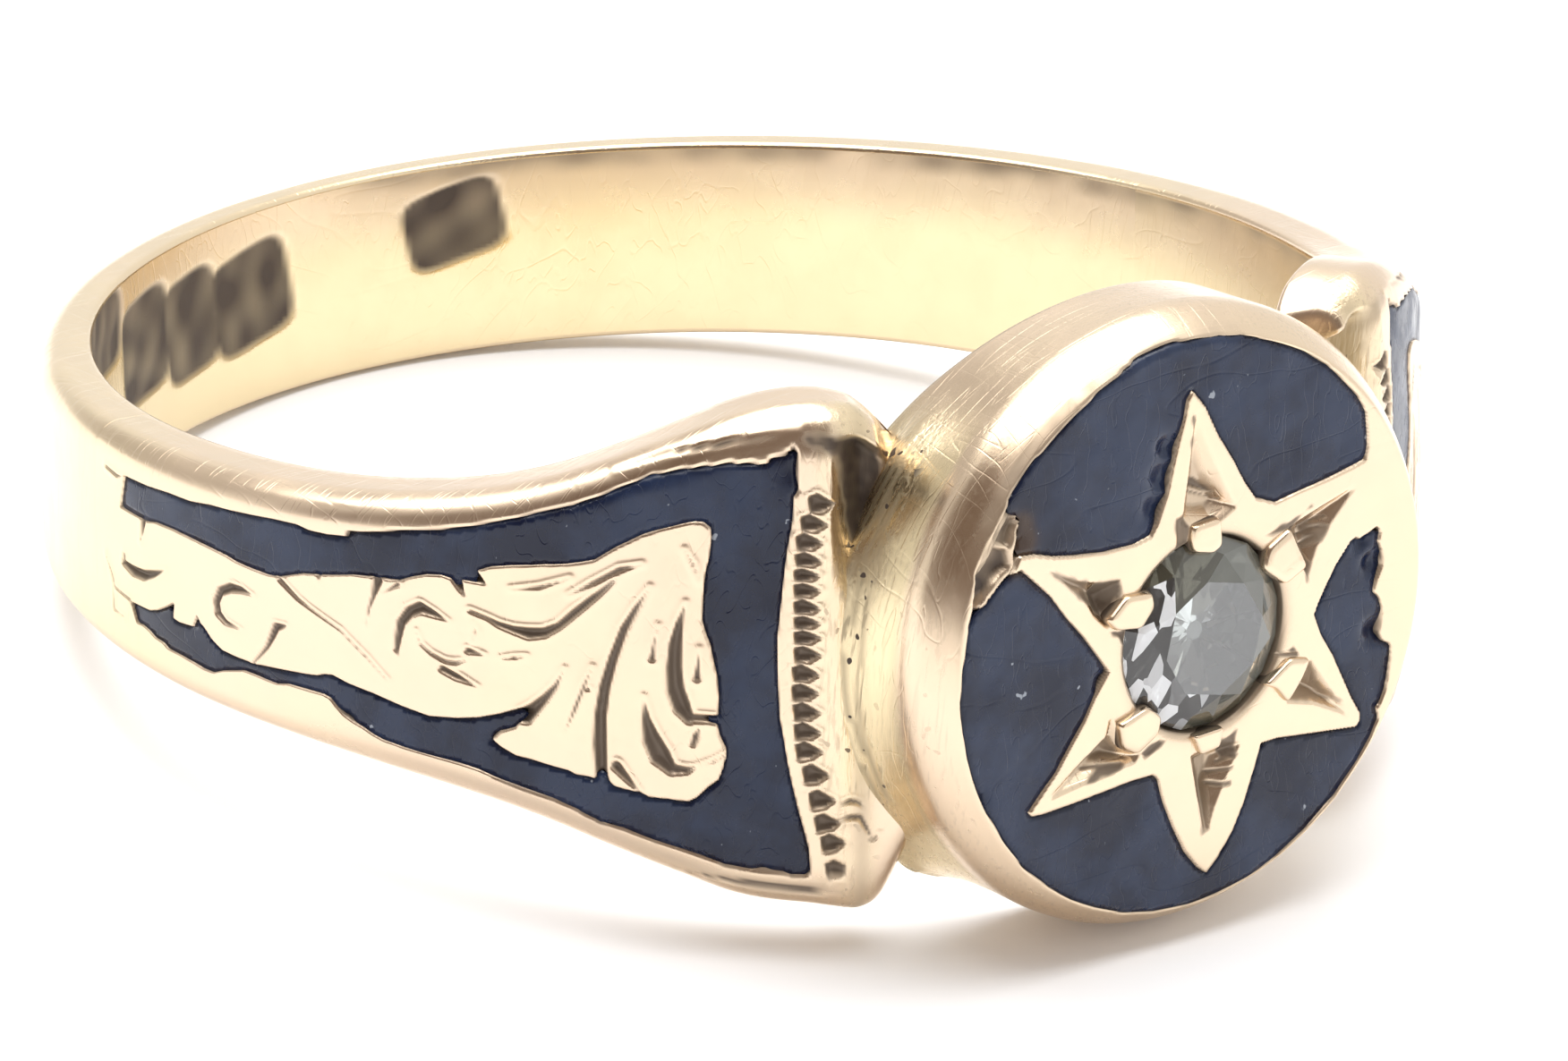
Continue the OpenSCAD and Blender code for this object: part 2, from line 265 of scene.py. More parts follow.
def makeGold():
    # peach gold with paler yellow where it is worn, hairline scratches, file marks where the
    # filed mark says so, and brown grime in the cuts; the same brown also serves as painted shade
    # and painted dark reflection in hollows, creases, beside the stone and grains and along the inner edge
    f = goldFinish
    material, tree, n = newMaterial(
        "worn gold", tone=(mottle, {"Scale": f["patchScale"]}),
        gloss=(mottle, {"Scale": f["roughScale"], "Low": f["roughLow"], "High": f["roughHigh"]}),
        hair=(scratches, {"Width": f["scratchWidth"]}))
    n |= addNodes(
        tree, grime=("Attribute", {"attribute_name": "grime"}),
        filed=("Attribute", {"attribute_name": "filed"}), pale=("Attribute", {"attribute_name": "pale"}),
        toPale=("Math", {"operation": "MULTIPLY_ADD", "use_clamp": True, 1: f["paleByPatch"]}),
        base=("Mix", {"data_type": "RGBA", 6: f["peach"], 7: f["pale"]}),
        dirty=("Mix", {"data_type": "RGBA", 7: f["grime"]}),
        rough=("Math", {"operation": "MULTIPLY_ADD", 1: f["grimeRough"]}),
        metal=("Math", {"operation": "MULTIPLY_ADD", 1: f["grimeMetal"], 2: 1.0}),
        lay=("Mapping", {"Scale": f["fileScale"]}), files=("TexNoise", {"Detail": 2.0, "Scale": 1.0}),
        streak=("MapRange", {1: 0.53, 2: 0.68, 3: 0.0, 4: f["fileGrime"]}),
        spots=("TexNoise", {"Detail": 0.0, "Scale": f["spotScale"]}), few=("MapRange", {1: 0.78, 2: 0.80}),
        worst=("Math", {"operation": "MAXIMUM"}), onFiled=("Math", {"operation": "MULTIPLY"}),
        pits=("Math", {"operation": "MAXIMUM"}), fileHeight=("Math", {"operation": "MULTIPLY"}),
        height=("Math", {"operation": "MULTIPLY_ADD", 1: f["scratchDepth"]}),
        bump=("Bump", {"Strength": f["bump"], "Distance": f["bumpHeight"]}))
    wire(tree, n, "tone.0 > toPale.0", "pale.Fac > toPale.2", "toPale.0 > base.0", "base.2 > dirty.6",
         "where.Object > lay.0", "lay.0 > files.Vector", "files.0 > streak.0", "streak.0 > worst.0",
         "where.Object > spots.Vector", "spots.0 > few.0", "few.0 > worst.1", "worst.0 > onFiled.0",
         "filed.Fac > onFiled.1", "grime.Fac > pits.0", "onFiled.0 > pits.1", "pits.0 > dirty.0",
         "dirty.2 > shader.Base Color", "pits.0 > rough.0", "gloss.0 > rough.2",
         "rough.0 > shader.Roughness", "pits.0 > metal.0", "metal.0 > shader.Metallic",
         "files.0 > fileHeight.0", "filed.Fac > fileHeight.1", "hair.0 > height.0",
         "fileHeight.0 > height.2", "height.0 > bump.Height", "bump.0 > shader.Normal")
    return material


enamelFinish = {
    "deep": (0.0012, 0.0042, 0.0220, 1), "milky": (0.0145, 0.0265, 0.0650, 1), "cloudScale": 700.0,
    "crust": (0.060, 0.035, 0.022, 1), "speck": (0.30, 0.33, 0.38, 1), "speckScale": 5200.0,
    "roughLow": 0.16, "roughHigh": 0.36, "roughScale": 1500.0, "scratchWidth": 0.010, "gloss": 1.45,
    "bump": 0.35, "bumpHeight": 0.00001,
}


def makeEnamel():
    # deep navy glass with cloudy patches, tiny pale specks, a few scratches and a brown worn edge
    f = enamelFinish
    material, tree, n = newMaterial(
        "navy enamel", cloud=(mottle, {"Scale": f["cloudScale"]}),
        gloss=(mottle, {"Scale": f["roughScale"], "Low": f["roughLow"], "High": f["roughHigh"]}),
        hair=(scratches, {"Width": f["scratchWidth"]}))
    n |= addNodes(
        tree, chips=("Attribute", {"attribute_name": "worn"}),
        base=("Mix", {"data_type": "RGBA", 6: f["deep"], 7: f["milky"]}),
        specks=("TexNoise", {"Scale": f["speckScale"], "Detail": 2.0}), few=("MapRange", {1: 0.735, 2: 0.76}),
        pits=("Mix", {"data_type": "RGBA", 7: f["speck"]}),
        edge=("Mix", {"data_type": "RGBA", 7: f["crust"]}),
        height=("Math", {"operation": "ADD"}),
        bump=("Bump", {"Strength": f["bump"], "Distance": f["bumpHeight"], "invert": True}))
    n["shader"].inputs["IOR"].default_value = f["gloss"]
    wire(tree, n, "where.Object > specks.Vector", "specks.0 > few.0", "cloud.0 > base.0", "base.2 > pits.6",
         "few.0 > pits.0", "pits.2 > edge.6", "chips.Fac > edge.0", "edge.2 > shader.Base Color",
         "gloss.0 > shader.Roughness", "hair.0 > height.0", "few.0 > height.1",
         "height.0 > bump.Height", "bump.0 > shader.Normal")
    return material


stoneFinish = {
    "body": (0.66, 0.715, 0.69, 1), "paintedDark": (0.080, 0.074, 0.048, 1), "bend": 2.35,
    "bloomScale": 1600.0, "bloom": 0.03, "dark": (0.055, 0.052, 0.050, 1), "bright": (0.93, 0.95, 0.97, 1),
    "sliverTurn": (0, 0.35, 0), "sliverScale": (5600, 5600, 2500),
}


def makeStoneGlass(name, clear, lustre, flashes=False):
    # stone with a faint grey-green body, painted browner as dark reflection where a crown facet is
    # marked dark by its direction, and a slight bloom; the flashing one has painted bright and dark
    # slivers: the facets below, as they show through
    f = stoneFinish
    material, tree, n = newMaterial(
        name, bloom=(mottle, {"Scale": f["bloomScale"], "Low": 0.0, "High": f["bloom"]}))
    n |= addNodes(tree, crown=("Attribute", {"attribute_name": "crown"}),
                  body=("Mix", {"data_type": "RGBA", 6: f["body"], 7: f["paintedDark"]}))
    wire(tree, n, "bloom.0 > shader.Roughness", "crown.Fac > body.0", "body.2 > shader.Base Color")
    if flashes:
        n["body"].inputs[6].default_value, n["body"].inputs[7].default_value = f["dark"], f["bright"]
        n |= addNodes(tree, lay=("Mapping", {"Rotation": f["sliverTurn"], "Scale": f["sliverScale"]}),
                      cells=("TexVoronoi", {"Scale": 1.0}), light=("MapRange", {1: 0.46, 2: 0.60}))
        wire(tree, n, "where.Object > lay.0", "lay.0 > cells.Vector", "cells.Color > light.0",
             "light.0 > body.0")
    n["shader"].inputs["Transmission Weight"].default_value = clear
    n["shader"].inputs["Specular IOR Level"].default_value = lustre
    n["shader"].inputs["IOR"].default_value = f["bend"]
    return material


gold, enamel = makeGold(), makeEnamel()
stoneGlass = makeStoneGlass("old cut diamond", 0.95, 0.50)
# facets painted dark and painted flashing get their own copies of the stone glass, less clear and less glossy
paintedDarkGlass = makeStoneGlass("dull diamond facets", 0.40, 0.08)
flashGlass = makeStoneGlass("flashing diamond facets", 0.25, 0.12, True)
print("materials made")


# The band

bandSizes = {
    "forward": 0.35, "outerRadius": 9.55, "backHalfWidth": 1.477, "shoulderHalfWidth": 3.42,
    "edgeAcross": 0.30, "shoulderEdgeAcross": 0.66, "edgeDown": 0.42, "innerEdge": 0.08, "crown": 0.03,
    "seamAngle": 98.0, "seamOverlap": 1.0, "seamTuck": 0.012, "hiddenAngle": 17.0, "hiddenGap": 0.05,
    "neckDip": 0.16, "neckFrom": 24.8, "neckTo": 28.6, "sideWear": 0.024, "sideWearSpan": 30,
    "pocketDip": 0.55, "pocketFrom": 0.8, "pocketRise": 1.3, "pocketEnd": 24.9, "pocketFade": 3.4,
    "lipHeight": 0.52, "lipRise": 0.26, "lipFrom": 22.6, "lipFade": 1.7,
    "uneven": 0.004, "unevenSize": 1.9,
}
# angle from the head in degrees, share of the way from the back's half width to the shoulders'
widthRows = [
    [0, 0.35], [20, 0.50], [22, 0.67], [24, 0.84], [26, 0.95], [30, 1], [35, 0.935], [40, 0.775],
    [45, 0.61], [50, 0.455], [55, 0.34], [61, 0.25], [70, 0.165], [85, 0.10], [110, 0.035],
    [140, 0], [180, 0],
]


def bandRadius(angle):
    # the outside is a circle set a little forward of the finger hole
    t = np.radians(angle)
    return (bandSizes["forward"] * np.cos(t)
            + np.sqrt(bandSizes["outerRadius"]**2 - (bandSizes["forward"] * np.sin(t))**2))


def halfWidth(angle):
    back, wide = bandSizes["backHalfWidth"], bandSizes["shoulderHalfWidth"]
    return back + (wide - back) * readTable(widthRows, np.minimum(angle, 360 - angle))


def edgeSize(angle):
    # the outer edges turn over on part of an ellipse: how far across and how far down it reaches
    s = bandSizes
    share = (halfWidth(angle) - s["backHalfWidth"]) / (s["shoulderHalfWidth"] - s["backHalfWidth"])
    across = s["edgeAcross"] + np.clip(share, 0, 1)**0.7 * (s["shoulderEdgeAcross"] - s["edgeAcross"])
    return across, s["edgeDown"] * (bandRadius(angle) - boreRadius)


def surfaceDrop(angle, z):
    # how far the outer face lies below the band's outline: a slight crown, the rounded edges,
    # a little wear at both sides, and the neck, which dips towards the head and has a deeper
    # pocket behind a lip at its upper end
    s = bandSizes
    across, down = edgeSize(angle)
    half = halfWidth(angle)
    over = np.clip((np.abs(z) - (half - across)) / across, 0, 1)
    crown = s["crown"] * np.clip(np.abs(z) / half, 0, 1)**2
    toNeck = 1 - smooth((angle - s["neckFrom"]) / (s["neckTo"] - s["neckFrom"]))
    lip = smooth((z - half + s["lipHeight"]) / s["lipRise"]) * smooth((angle - s["lipFrom"]) / s["lipFade"])
    pocket = smooth((z - s["pocketFrom"]) / s["pocketRise"]) * (1 - lip)
    pocket = pocket * (1 - smooth((angle - s["pocketEnd"]) / s["pocketFade"]))
    worn = sum(np.exp(-((angle - side) / s["sideWearSpan"])**2) for side in (90, 270))
    return (crown + down * (1 - np.sqrt(1 - over**2)) + s["neckDip"] * toNeck
            + s["pocketDip"] * pocket + s["sideWear"] * worn)


def unevenFace(angle, z):
    return bandSizes["uneven"] * ripple(np.radians(angle) * arcRadius, z, 3, bandSizes["unevenSize"])


def bandSection(angles, flatSteps, edgeSteps, innerSteps):
    # one closed loop per angle: lower side, outer face with both its edges, upper side and
    # inner wall; returns radius, z, and 1 on the outer face or -1 on the inner wall
    a = angles[:, None]
    inner = bandSizes["innerEdge"]
    half, low = halfWidth(a), boreRadius + bandSizes["hiddenGap"] * (1 - smooth((a - 22) / 3))
    across = edgeSize(a)[0]
    over = np.sin(0.5 * np.pi * np.linspace(0, 1, edgeSteps + 1)[None, 1:])
    upper = half - across + across * over
    middle = (half - across) * np.linspace(-1, 1, flatSteps)[None, :]
    z = np.concatenate([-upper[:, ::-1], middle, upper], 1)
    face = bandRadius(a) - surfaceDrop(a, z)
    wall = np.linspace(0, 1, 5)[None, 1:-1]
    inside = np.sin(0.5 * np.pi * np.linspace(1, -1, innerSteps))[None, 1:-1]
    curl = np.radians(np.linspace(0, 90, 4))[None, :]
    parts = [
        (low + inner + wall * (face[:, :1] - low - inner), -half + 0 * wall, 0),
        (face, z, 1),
        (face[:, -1:] - wall * (face[:, -1:] - low - inner), half + 0 * wall, 0),
        (low + inner - inner * np.sin(curl), half - inner + inner * np.cos(curl), 0),
        (low + 0 * inside, inside * (half - inner), -1),
        (low + inner - inner * np.cos(curl), -half + inner - inner * np.sin(curl), 0),
    ]
    radius = np.concatenate([part[0] + 0 * a for part in parts], 1)
    height = np.concatenate([part[1] + 0 * a for part in parts], 1)
    kind = np.concatenate([np.full(part[0].shape, part[2]) for part in parts], 1)
    return radius, height, kind


def sweepBand(angles, radius, z):
    # carries the loops round the finger and closes both ends with a fan of quads
    t = np.radians(angles)[:, None]
    points = np.stack([-radius * np.sin(t), -radius * np.cos(t), z + 0 * t], -1).reshape(-1, 3)
    rows, columns = radius.shape
    quads = gridFaces(rows, columns)
    k = np.arange(columns // 2 - 1)
    last = (rows - 1) * columns
    startCap = np.stack([k, k + 1, columns - 2 - k, columns - 1 - k], -1)
    endCap = last + startCap[:, ::-1]
    return points, np.concatenate([quads, startCap, endCap]), 2 * len(k)


# The shoulders: distances along the band from the head and across it, both in mm

shoulderSizes = {
    "rows": 410, "hiddenRows": 14, "flatSteps": 162, "edgeSteps": 16, "innerSteps": 14,
    "hiddenEnd": 23.5, "seamRow": 0.03, "recess": 0.13, "recessSlope": 0.06, "recessGrime": 0.75,
    "cutDepth": 0.11, "cutSteepness": 1.1, "cutGrime": 0.85, "lipHeight": 0.012, "lipWidth": 0.03,
    "punchLong": 1.13, "punchTall": 1.06, "punchSteepness": 1.3, "punchRoom": 0.28, "lastRoom": 0.24,
    "lowerEnd": 0.42, "lowerEndAt": 4.0, "lowerEndSpan": 0.62, "grooveAt": 4.30, "grooveWidth": 0.14,
    "grooveShade": 0.22, "lowLineUp": 0.32, "lowLineWidth": 0.13, "lowLineDarkReflection": 0.26,
    "hollowReflectionAndPatina": 0.96, "farHollow": 0.35, "filedFrom": 4.0, "filedTo": 4.80, "filed": 0.75,
    "filedPale": 0.85, "wornFrom": 13.0, "wornPale": 0.5,
}
# the edge of the shoulder's enamel, from its narrow end along the upper side and back below
panelEdge = [
    (15.60, 1.13), (15.00, 1.15), (14.50, 1.19), (14.00, 1.20), (13.60, 1.25), (13.20, 1.27), (12.80, 1.30),
    (12.40, 1.33), (12.00, 1.34), (11.80, 1.30), (11.50, 1.30), (11.22, 1.33), (11.20, 1.41), (11.00, 1.43),
    (10.60, 1.50), (10.20, 1.58), (9.80, 1.64), (9.50, 1.71), (9.00, 1.84), (8.50, 2.00), (8.00, 2.15),
    (7.50, 2.37), (7.00, 2.60), (6.50, 2.71), (6.00, 2.78), (5.55, 2.77), (5.46, 2.86), (5.30, 2.89),
    (5.20, 2.99), (5.12, 2.93), (5.14, 2.60), (5.12, 2.41), (5.19, 2.30), (5.20, 2.00), (5.27, 1.60),
    (5.32, 1.20), (5.36, 0.80), (5.40, 0.40), (5.40, 0.00), (5.39, -0.30), (5.37, -0.70), (5.33, -0.95),
    (5.28, -1.30), (5.22, -1.60), (5.13, -2.00), (5.05, -2.32), (5.00, -2.54), (4.98, -2.86), (5.08, -2.91),
    (5.25, -2.90), (5.35, -2.84), (5.50, -2.82), (5.80, -2.80), (6.10, -2.74), (6.40, -2.60), (6.70, -2.50),
    (7.00, -2.42), (7.40, -2.25), (7.70, -2.20), (8.00, -2.04), (8.30, -1.91), (8.70, -1.81), (9.00, -1.73),
    (9.30, -1.63), (9.60, -1.57), (10.00, -1.52), (10.40, -1.47), (10.70, -1.42), (10.85, -1.37),
    (11.00, -1.30), (11.15, -1.25), (11.30, -1.18), (11.40, -1.09), (11.50, -0.99), (11.60, -0.96),
    (11.90, -0.95), (12.20, -0.94), (12.40, -0.98), (12.80, -0.95), (13.00, -0.94), (13.20, -0.99),
    (13.40, -1.04), (13.60, -1.12), (13.80, -1.12), (14.00, -1.09), (14.30, -1.06), (14.60, -1.05),
    (14.70, -1.00), (14.90, -0.98), (15.05, -0.92), (15.20, -0.89), (15.35, -0.90), (15.50, -0.63),
    (15.75, -0.55), (15.75, 0.60),
]
# the edge of the gold scroll that stands in it, from its tail along the upper side and back below
scrollEdge = [
    (16.10, 0.63), (15.20, 0.63), (15.00, 0.63), (14.80, 0.67), (14.40, 0.68), (14.00, 0.66), (13.60, 0.63),
    (13.30, 0.60), (13.10, 0.56), (12.80, 0.53), (12.50, 0.51), (12.30, 0.53), (12.10, 0.60), (11.90, 0.66),
    (11.60, 0.70), (11.30, 0.76), (11.10, 0.80), (10.80, 0.82), (10.40, 0.83), (10.30, 0.88), (10.20, 0.92),
    (10.00, 0.98), (9.80, 1.00), (9.66, 0.97), (9.56, 0.84), (9.45, 0.73), (9.50, 0.97), (9.15, 0.95),
    (9.28, 1.13), (9.10, 1.20), (8.80, 1.25), (8.40, 1.30), (8.10, 1.33), (7.90, 1.37), (7.73, 1.41),
    (7.60, 1.50), (7.45, 1.60), (7.30, 1.68), (7.10, 1.79), (6.90, 1.86), (6.60, 1.95), (6.45, 1.98),
    (6.34, 1.97), (6.26, 1.90), (6.25, 1.80), (6.28, 1.51), (6.33, 1.30), (6.36, 0.99), (6.37, 0.65),
    (6.33, 0.49), (6.27, 0.32), (6.23, 0.08), (6.19, -0.11), (6.17, -0.40), (6.18, -0.64), (6.40, -0.65),
    (6.40, -0.72), (6.19, -0.78), (6.15, -0.94), (6.08, -1.10), (6.08, -1.23), (6.12, -1.40), (6.17, -1.54),
    (6.30, -1.64), (6.45, -1.79), (6.55, -1.84), (6.80, -1.81), (7.05, -1.79), (7.16, -1.72), (7.35, -1.70),
    (7.50, -1.66), (7.56, -1.58), (7.59, -1.45), (7.72, -1.45), (7.75, -1.56), (8.00, -1.53), (8.10, -1.48),
    (8.30, -1.44), (8.60, -1.37), (8.80, -1.34), (9.00, -1.24), (9.10, -1.16), (9.00, -1.05), (8.80, -0.97),
    (8.62, -0.79), (8.52, -0.62), (8.75, -0.68), (9.00, -0.78), (9.30, -0.87), (9.60, -0.92), (10.00, -0.95),
    (10.40, -0.87), (10.80, -0.77), (11.20, -0.70), (11.45, -0.63), (11.60, -0.65), (11.70, -0.69),
    (11.90, -0.71), (12.20, -0.73), (12.50, -0.75), (12.80, -0.77), (13.10, -0.76), (13.40, -0.73),
    (13.60, -0.63), (13.75, -0.50), (13.83, -0.46), (13.90, -0.37), (14.00, -0.55), (14.30, -0.57),
    (14.42, -0.55), (14.40, -0.32), (14.50, -0.38), (14.60, -0.44), (14.80, -0.54), (15.00, -0.60),
    (15.40, -0.61), (16.10, -0.60),
]
# the graver's cuts in the scroll and its border: along, across and width at each point
shoulderCuts = [
    [(4.62, -1.94, .03), (4.47, -1.92, .075), (4.34, -1.97, .06), (4.28, -2.06, .03)],
    [(4.64, -2.16, .03), (4.46, -2.15, .08), (4.32, -2.18, .08), (4.24, -2.34, .07), (4.16, -2.50, .03)],
    [(4.24, -2.50, .03), (4.16, -2.50, .06), (4.08, -2.47, .03)],
    [(9.70, 0.40, 0), (9.90, 0.47, .10), (10.10, 0.53, .17), (10.25, 0.45, .16), (10.38, 0.28, .14),
     (10.43, 0.05, .11), (10.45, -0.10, .08), (10.43, -0.18, 0)],
    [(10.17, 0.20, 0), (10.10, 0.03, .03), (9.95, -0.08, .04), (9.75, -0.16, .05), (9.60, -0.16, .05),
     (9.45, -0.10, .01)],
    [(9.43, 0.03, .09), (9.20, 0.00, 0)], [(9.80, -0.27, .10), (9.60, -0.35, .10), (9.30, -0.45, 0)],
    [(9.34, 0.42, 0), (9.33, 0.30, .03), (9.36, 0.18, 0)],
    [(9.40, 0.58, .05), (9.15, 0.51, .05), (9.00, 0.44, .08), (8.80, 0.39, .11), (8.60, 0.36, .17),
     (8.40, 0.39, .14), (8.20, 0.50, .10), (8.00, 0.69, .11), (7.80, 0.87, .10), (7.65, 1.00, .08),
     (7.50, 1.15, .05), (7.43, 1.20, 0)],
    [(8.85, 0.95, 0), (8.45, 1.01, .05), (8.05, 1.17, 0)],
    [(8.07, 0.94, 0), (7.75, 1.12, .06), (7.40, 1.32, .08), (7.12, 1.41, 0)],
    [(8.98, -0.02, 0), (8.80, 0.01, .04), (8.63, 0.05, 0)],
    [(8.66, -0.78, .24), (8.55, -0.68, .18), (8.40, -0.52, .12), (8.25, -0.33, .07), (8.13, -0.08, 0)],
    [(8.15, -0.98, 0), (8.00, -0.62, .06), (7.87, -0.28, .05), (7.77, -0.03, 0)],
    [(7.84, -0.34, .05), (7.82, -0.34, .05)],
    [(7.02, 1.10, 0), (7.20, 0.80, .08), (7.36, 0.50, .12), (7.50, 0.10, .14), (7.61, -0.30, .16),
     (7.67, -0.70, .18), (7.68, -1.10, .20), (7.66, -1.55, .17)],
    [(6.92, 0.58, 0), (6.98, 0.30, .05), (7.00, 0.12, .09)],
    [(6.57, 0.90, 0), (6.65, 0.60, .12), (6.70, 0.32, .19), (6.72, 0.00, .22), (6.70, -0.30, .24),
     (6.62, -0.54, .24), (6.53, -0.70, .14)], [(6.53, -0.68, .12), (6.17, -0.70, .10)],
    [(6.40, 0.27, 0), (6.42, 0.00, .07), (6.43, -0.13, .11)],
    [(7.11, -0.40, 0), (7.08, -0.73, .13), (7.01, -0.99, .24), (6.90, -1.22, .28), (6.76, -1.40, .16),
     (6.57, -1.41, .10), (6.42, -1.35, 0)],
    [(6.39, -0.80, 0), (6.45, -0.94, .10), (6.49, -1.05, .07)],
    [(7.47, -1.38, .14), (7.32, -1.56, .09), (7.18, -1.72, .02)],
    [(6.58, 1.62, 0), (6.47, 1.42, .03), (6.40, 1.20, 0)],
    [(6.06, -1.18, .02), (6.22, -1.28, .03), (6.42, -1.34, 0)],
    [(15.63, 0.01, .05), (15.65, -0.12, .10), (15.40, -0.16, .16), (15.10, -0.14, .16), (14.85, -0.05, .11),
     (14.57, 0.08, 0)],
    [(15.09, 0.62, .12), (15.12, 0.48, .06), (15.17, 0.30, 0)],
    [(12.77, 0.18, 0), (13.00, 0.21, .10), (13.20, 0.19, .14), (13.40, 0.09, .14), (13.48, -0.06, .13),
     (13.45, -0.22, .12), (13.30, -0.32, .08), (13.00, -0.35, 0)],
    [(12.22, -0.12, .04), (12.38, -0.17, .13), (12.45, -0.31, .11), (12.55, -0.49, .07), (12.70, -0.66, .05),
     (12.80, -0.76, .04)],
    [(10.72, 0.80, .16), (10.78, 0.60, .08), (10.85, 0.41, .05), (10.90, 0.15, 0)],
    [(10.42, 0.80, .07), (10.65, 0.65, 0)], [(11.64, 0.72, .09), (11.64, 0.62, 0)],
    [(12.30, 0.51, .07), (12.00, 0.31, .05), (11.80, 0.22, .03), (11.30, 0.02, .02), (10.90, -0.28, .02),
     (10.60, -0.55, .01)],
    [(16.20, -0.15, 0), (16.00, -0.42, .05), (15.95, -0.55, .03), (15.50, -0.60, .04)],
    [(15.97, -0.55, .03), (15.98, -0.88, .03), (15.70, -0.90, .02)],
    [(16.15, 1.10, .04), (15.80, 1.06, .05), (15.62, 1.10, 0)],
    [(6.75, -2.84, 0), (6.20, -2.94, .07), (5.60, -3.03, .12), (5.00, -3.13, .11), (4.50, -3.22, 0)],
    [(7.50, 2.60, 0), (6.80, 2.85, .05), (6.00, 3.02, .07), (5.40, 3.12, .04), (5.10, 3.15, 0)],
]
# the row of small three-cornered punches beside the enamel's wide end: along, across
punchRow = [
    (4.84, 2.21), (4.94, 1.94), (5.00, 1.70), (5.01, 1.44), (5.03, 1.25), (5.03, 1.05), (5.03, 0.80),
    (5.03, 0.60), (5.03, 0.41), (5.03, 0.17), (5.05, -0.10), (5.06, -0.35), (5.04, -0.62), (5.03, -0.90),
    (5.01, -1.16), (4.92, -1.49), (4.84, -1.85), (4.77, -2.18), (4.69, -2.47), (4.63, -2.85),
]
# one punch: along, and up as a share of the room above or below it
punchShape = [(.17, .34), (.05, .52), (-.17, -.06), (-.02, -.42), (.14, -.46)]
# the hollow where the upper border runs down beside the head, painted dark as a reflection with some patina:
# along, across
pocketEdge = [
    (5.20, 3.02), (4.85, 2.88), (4.68, 2.76), (4.62, 2.50), (4.54, 2.00), (4.42, 1.20), (4.34, 0.50),
    (4.27, 0.45), (4.08, 1.40), (3.96, 2.00), (3.84, 2.46), (3.98, 2.74), (4.30, 3.00), (4.70, 3.14),
    (5.05, 3.14),
]


def shoulderEnamelDistance(along, across):
    return np.minimum(insideDistance(along, across, panelEdge), -insideDistance(along, across, scrollEdge))


def punchOutlines():
    # the punch's shape at each place of the row, as tall as the room to its neighbours allows
    s = shoulderSizes
    ups = [up for at, up in punchRow]
    rooms = [s["punchRoom"]] + [min(a - b, s["punchRoom"]) for a, b in zip(ups, ups[1:])] + [s["lastRoom"]]
    return [[(at + s["punchLong"] * u, up + s["punchTall"] * v * (above if v > 0 else below))
             for u, v in punchShape] for (at, up), above, below in zip(punchRow, rooms, rooms[1:])]


def shoulderRelief(along, across):
    # depth below the plain surface: the enamel's recess, V cuts as deep as they are wide up to
    # a limit, three-cornered punches, and a raised lip beside each cut; and the grime in them
    s = shoulderSizes
    inEnamel = shoulderEnamelDistance(along, across)
    recess = s["recess"] * smooth(inEnamel / s["recessSlope"])
    cut = np.full(along.shape, -1.0)
    for points in shoulderCuts:
        cut = np.maximum(cut, cutDistance(along, across, points))
    for corners in punchOutlines():
        cut = np.maximum(cut, s["punchSteepness"] * insideDistance(along, across, corners))
    lip = s["lipHeight"] * np.exp(-((cut + s["lipWidth"]) / s["lipWidth"])**2)
    depth = np.maximum(recess, np.clip(s["cutSteepness"] * cut, 0, s["cutDepth"])) - lip
    cutGrime = s["cutGrime"] * smooth((cut + 0.004) / 0.035)
    grime = np.maximum(cutGrime, s["recessGrime"] * smooth(inEnamel / 0.02))
    return depth, grime


innerFinish = {"peachFrom": 0.1, "peachRise": 1.2, "peach": 0.75, "edgeHeight": 0.42, "edgeRise": 0.38,
               "edgeReflection": 0.32, "edgeSpots": 0.20, "spotSize": 1.1, "traceDarkening": 0.27}


def innerPale(z):
    # the inner wall is yellow, and more peach towards its upper edge
    return 1 - innerFinish["peach"] * smooth((z - innerFinish["peachFrom"]) / innerFinish["peachRise"])


def innerEdgeReflection(angle, z):
    # painted dark reflection: a soft brown line with darker spots along the upper edge, and a
    # fainter darkening below that; angles are counted from the right-hand side of the head
    f = innerFinish
    spots = f["edgeSpots"] * ripple(np.radians(angle) * arcRadius, z, 17, f["spotSize"])
    edge = smooth((z - halfWidth(angle) + f["edgeHeight"]) / f["edgeRise"]) * (f["edgeReflection"] + spots)
    return np.maximum(edge, 0) + f["traceDarkening"] * (1 - innerPale(z))


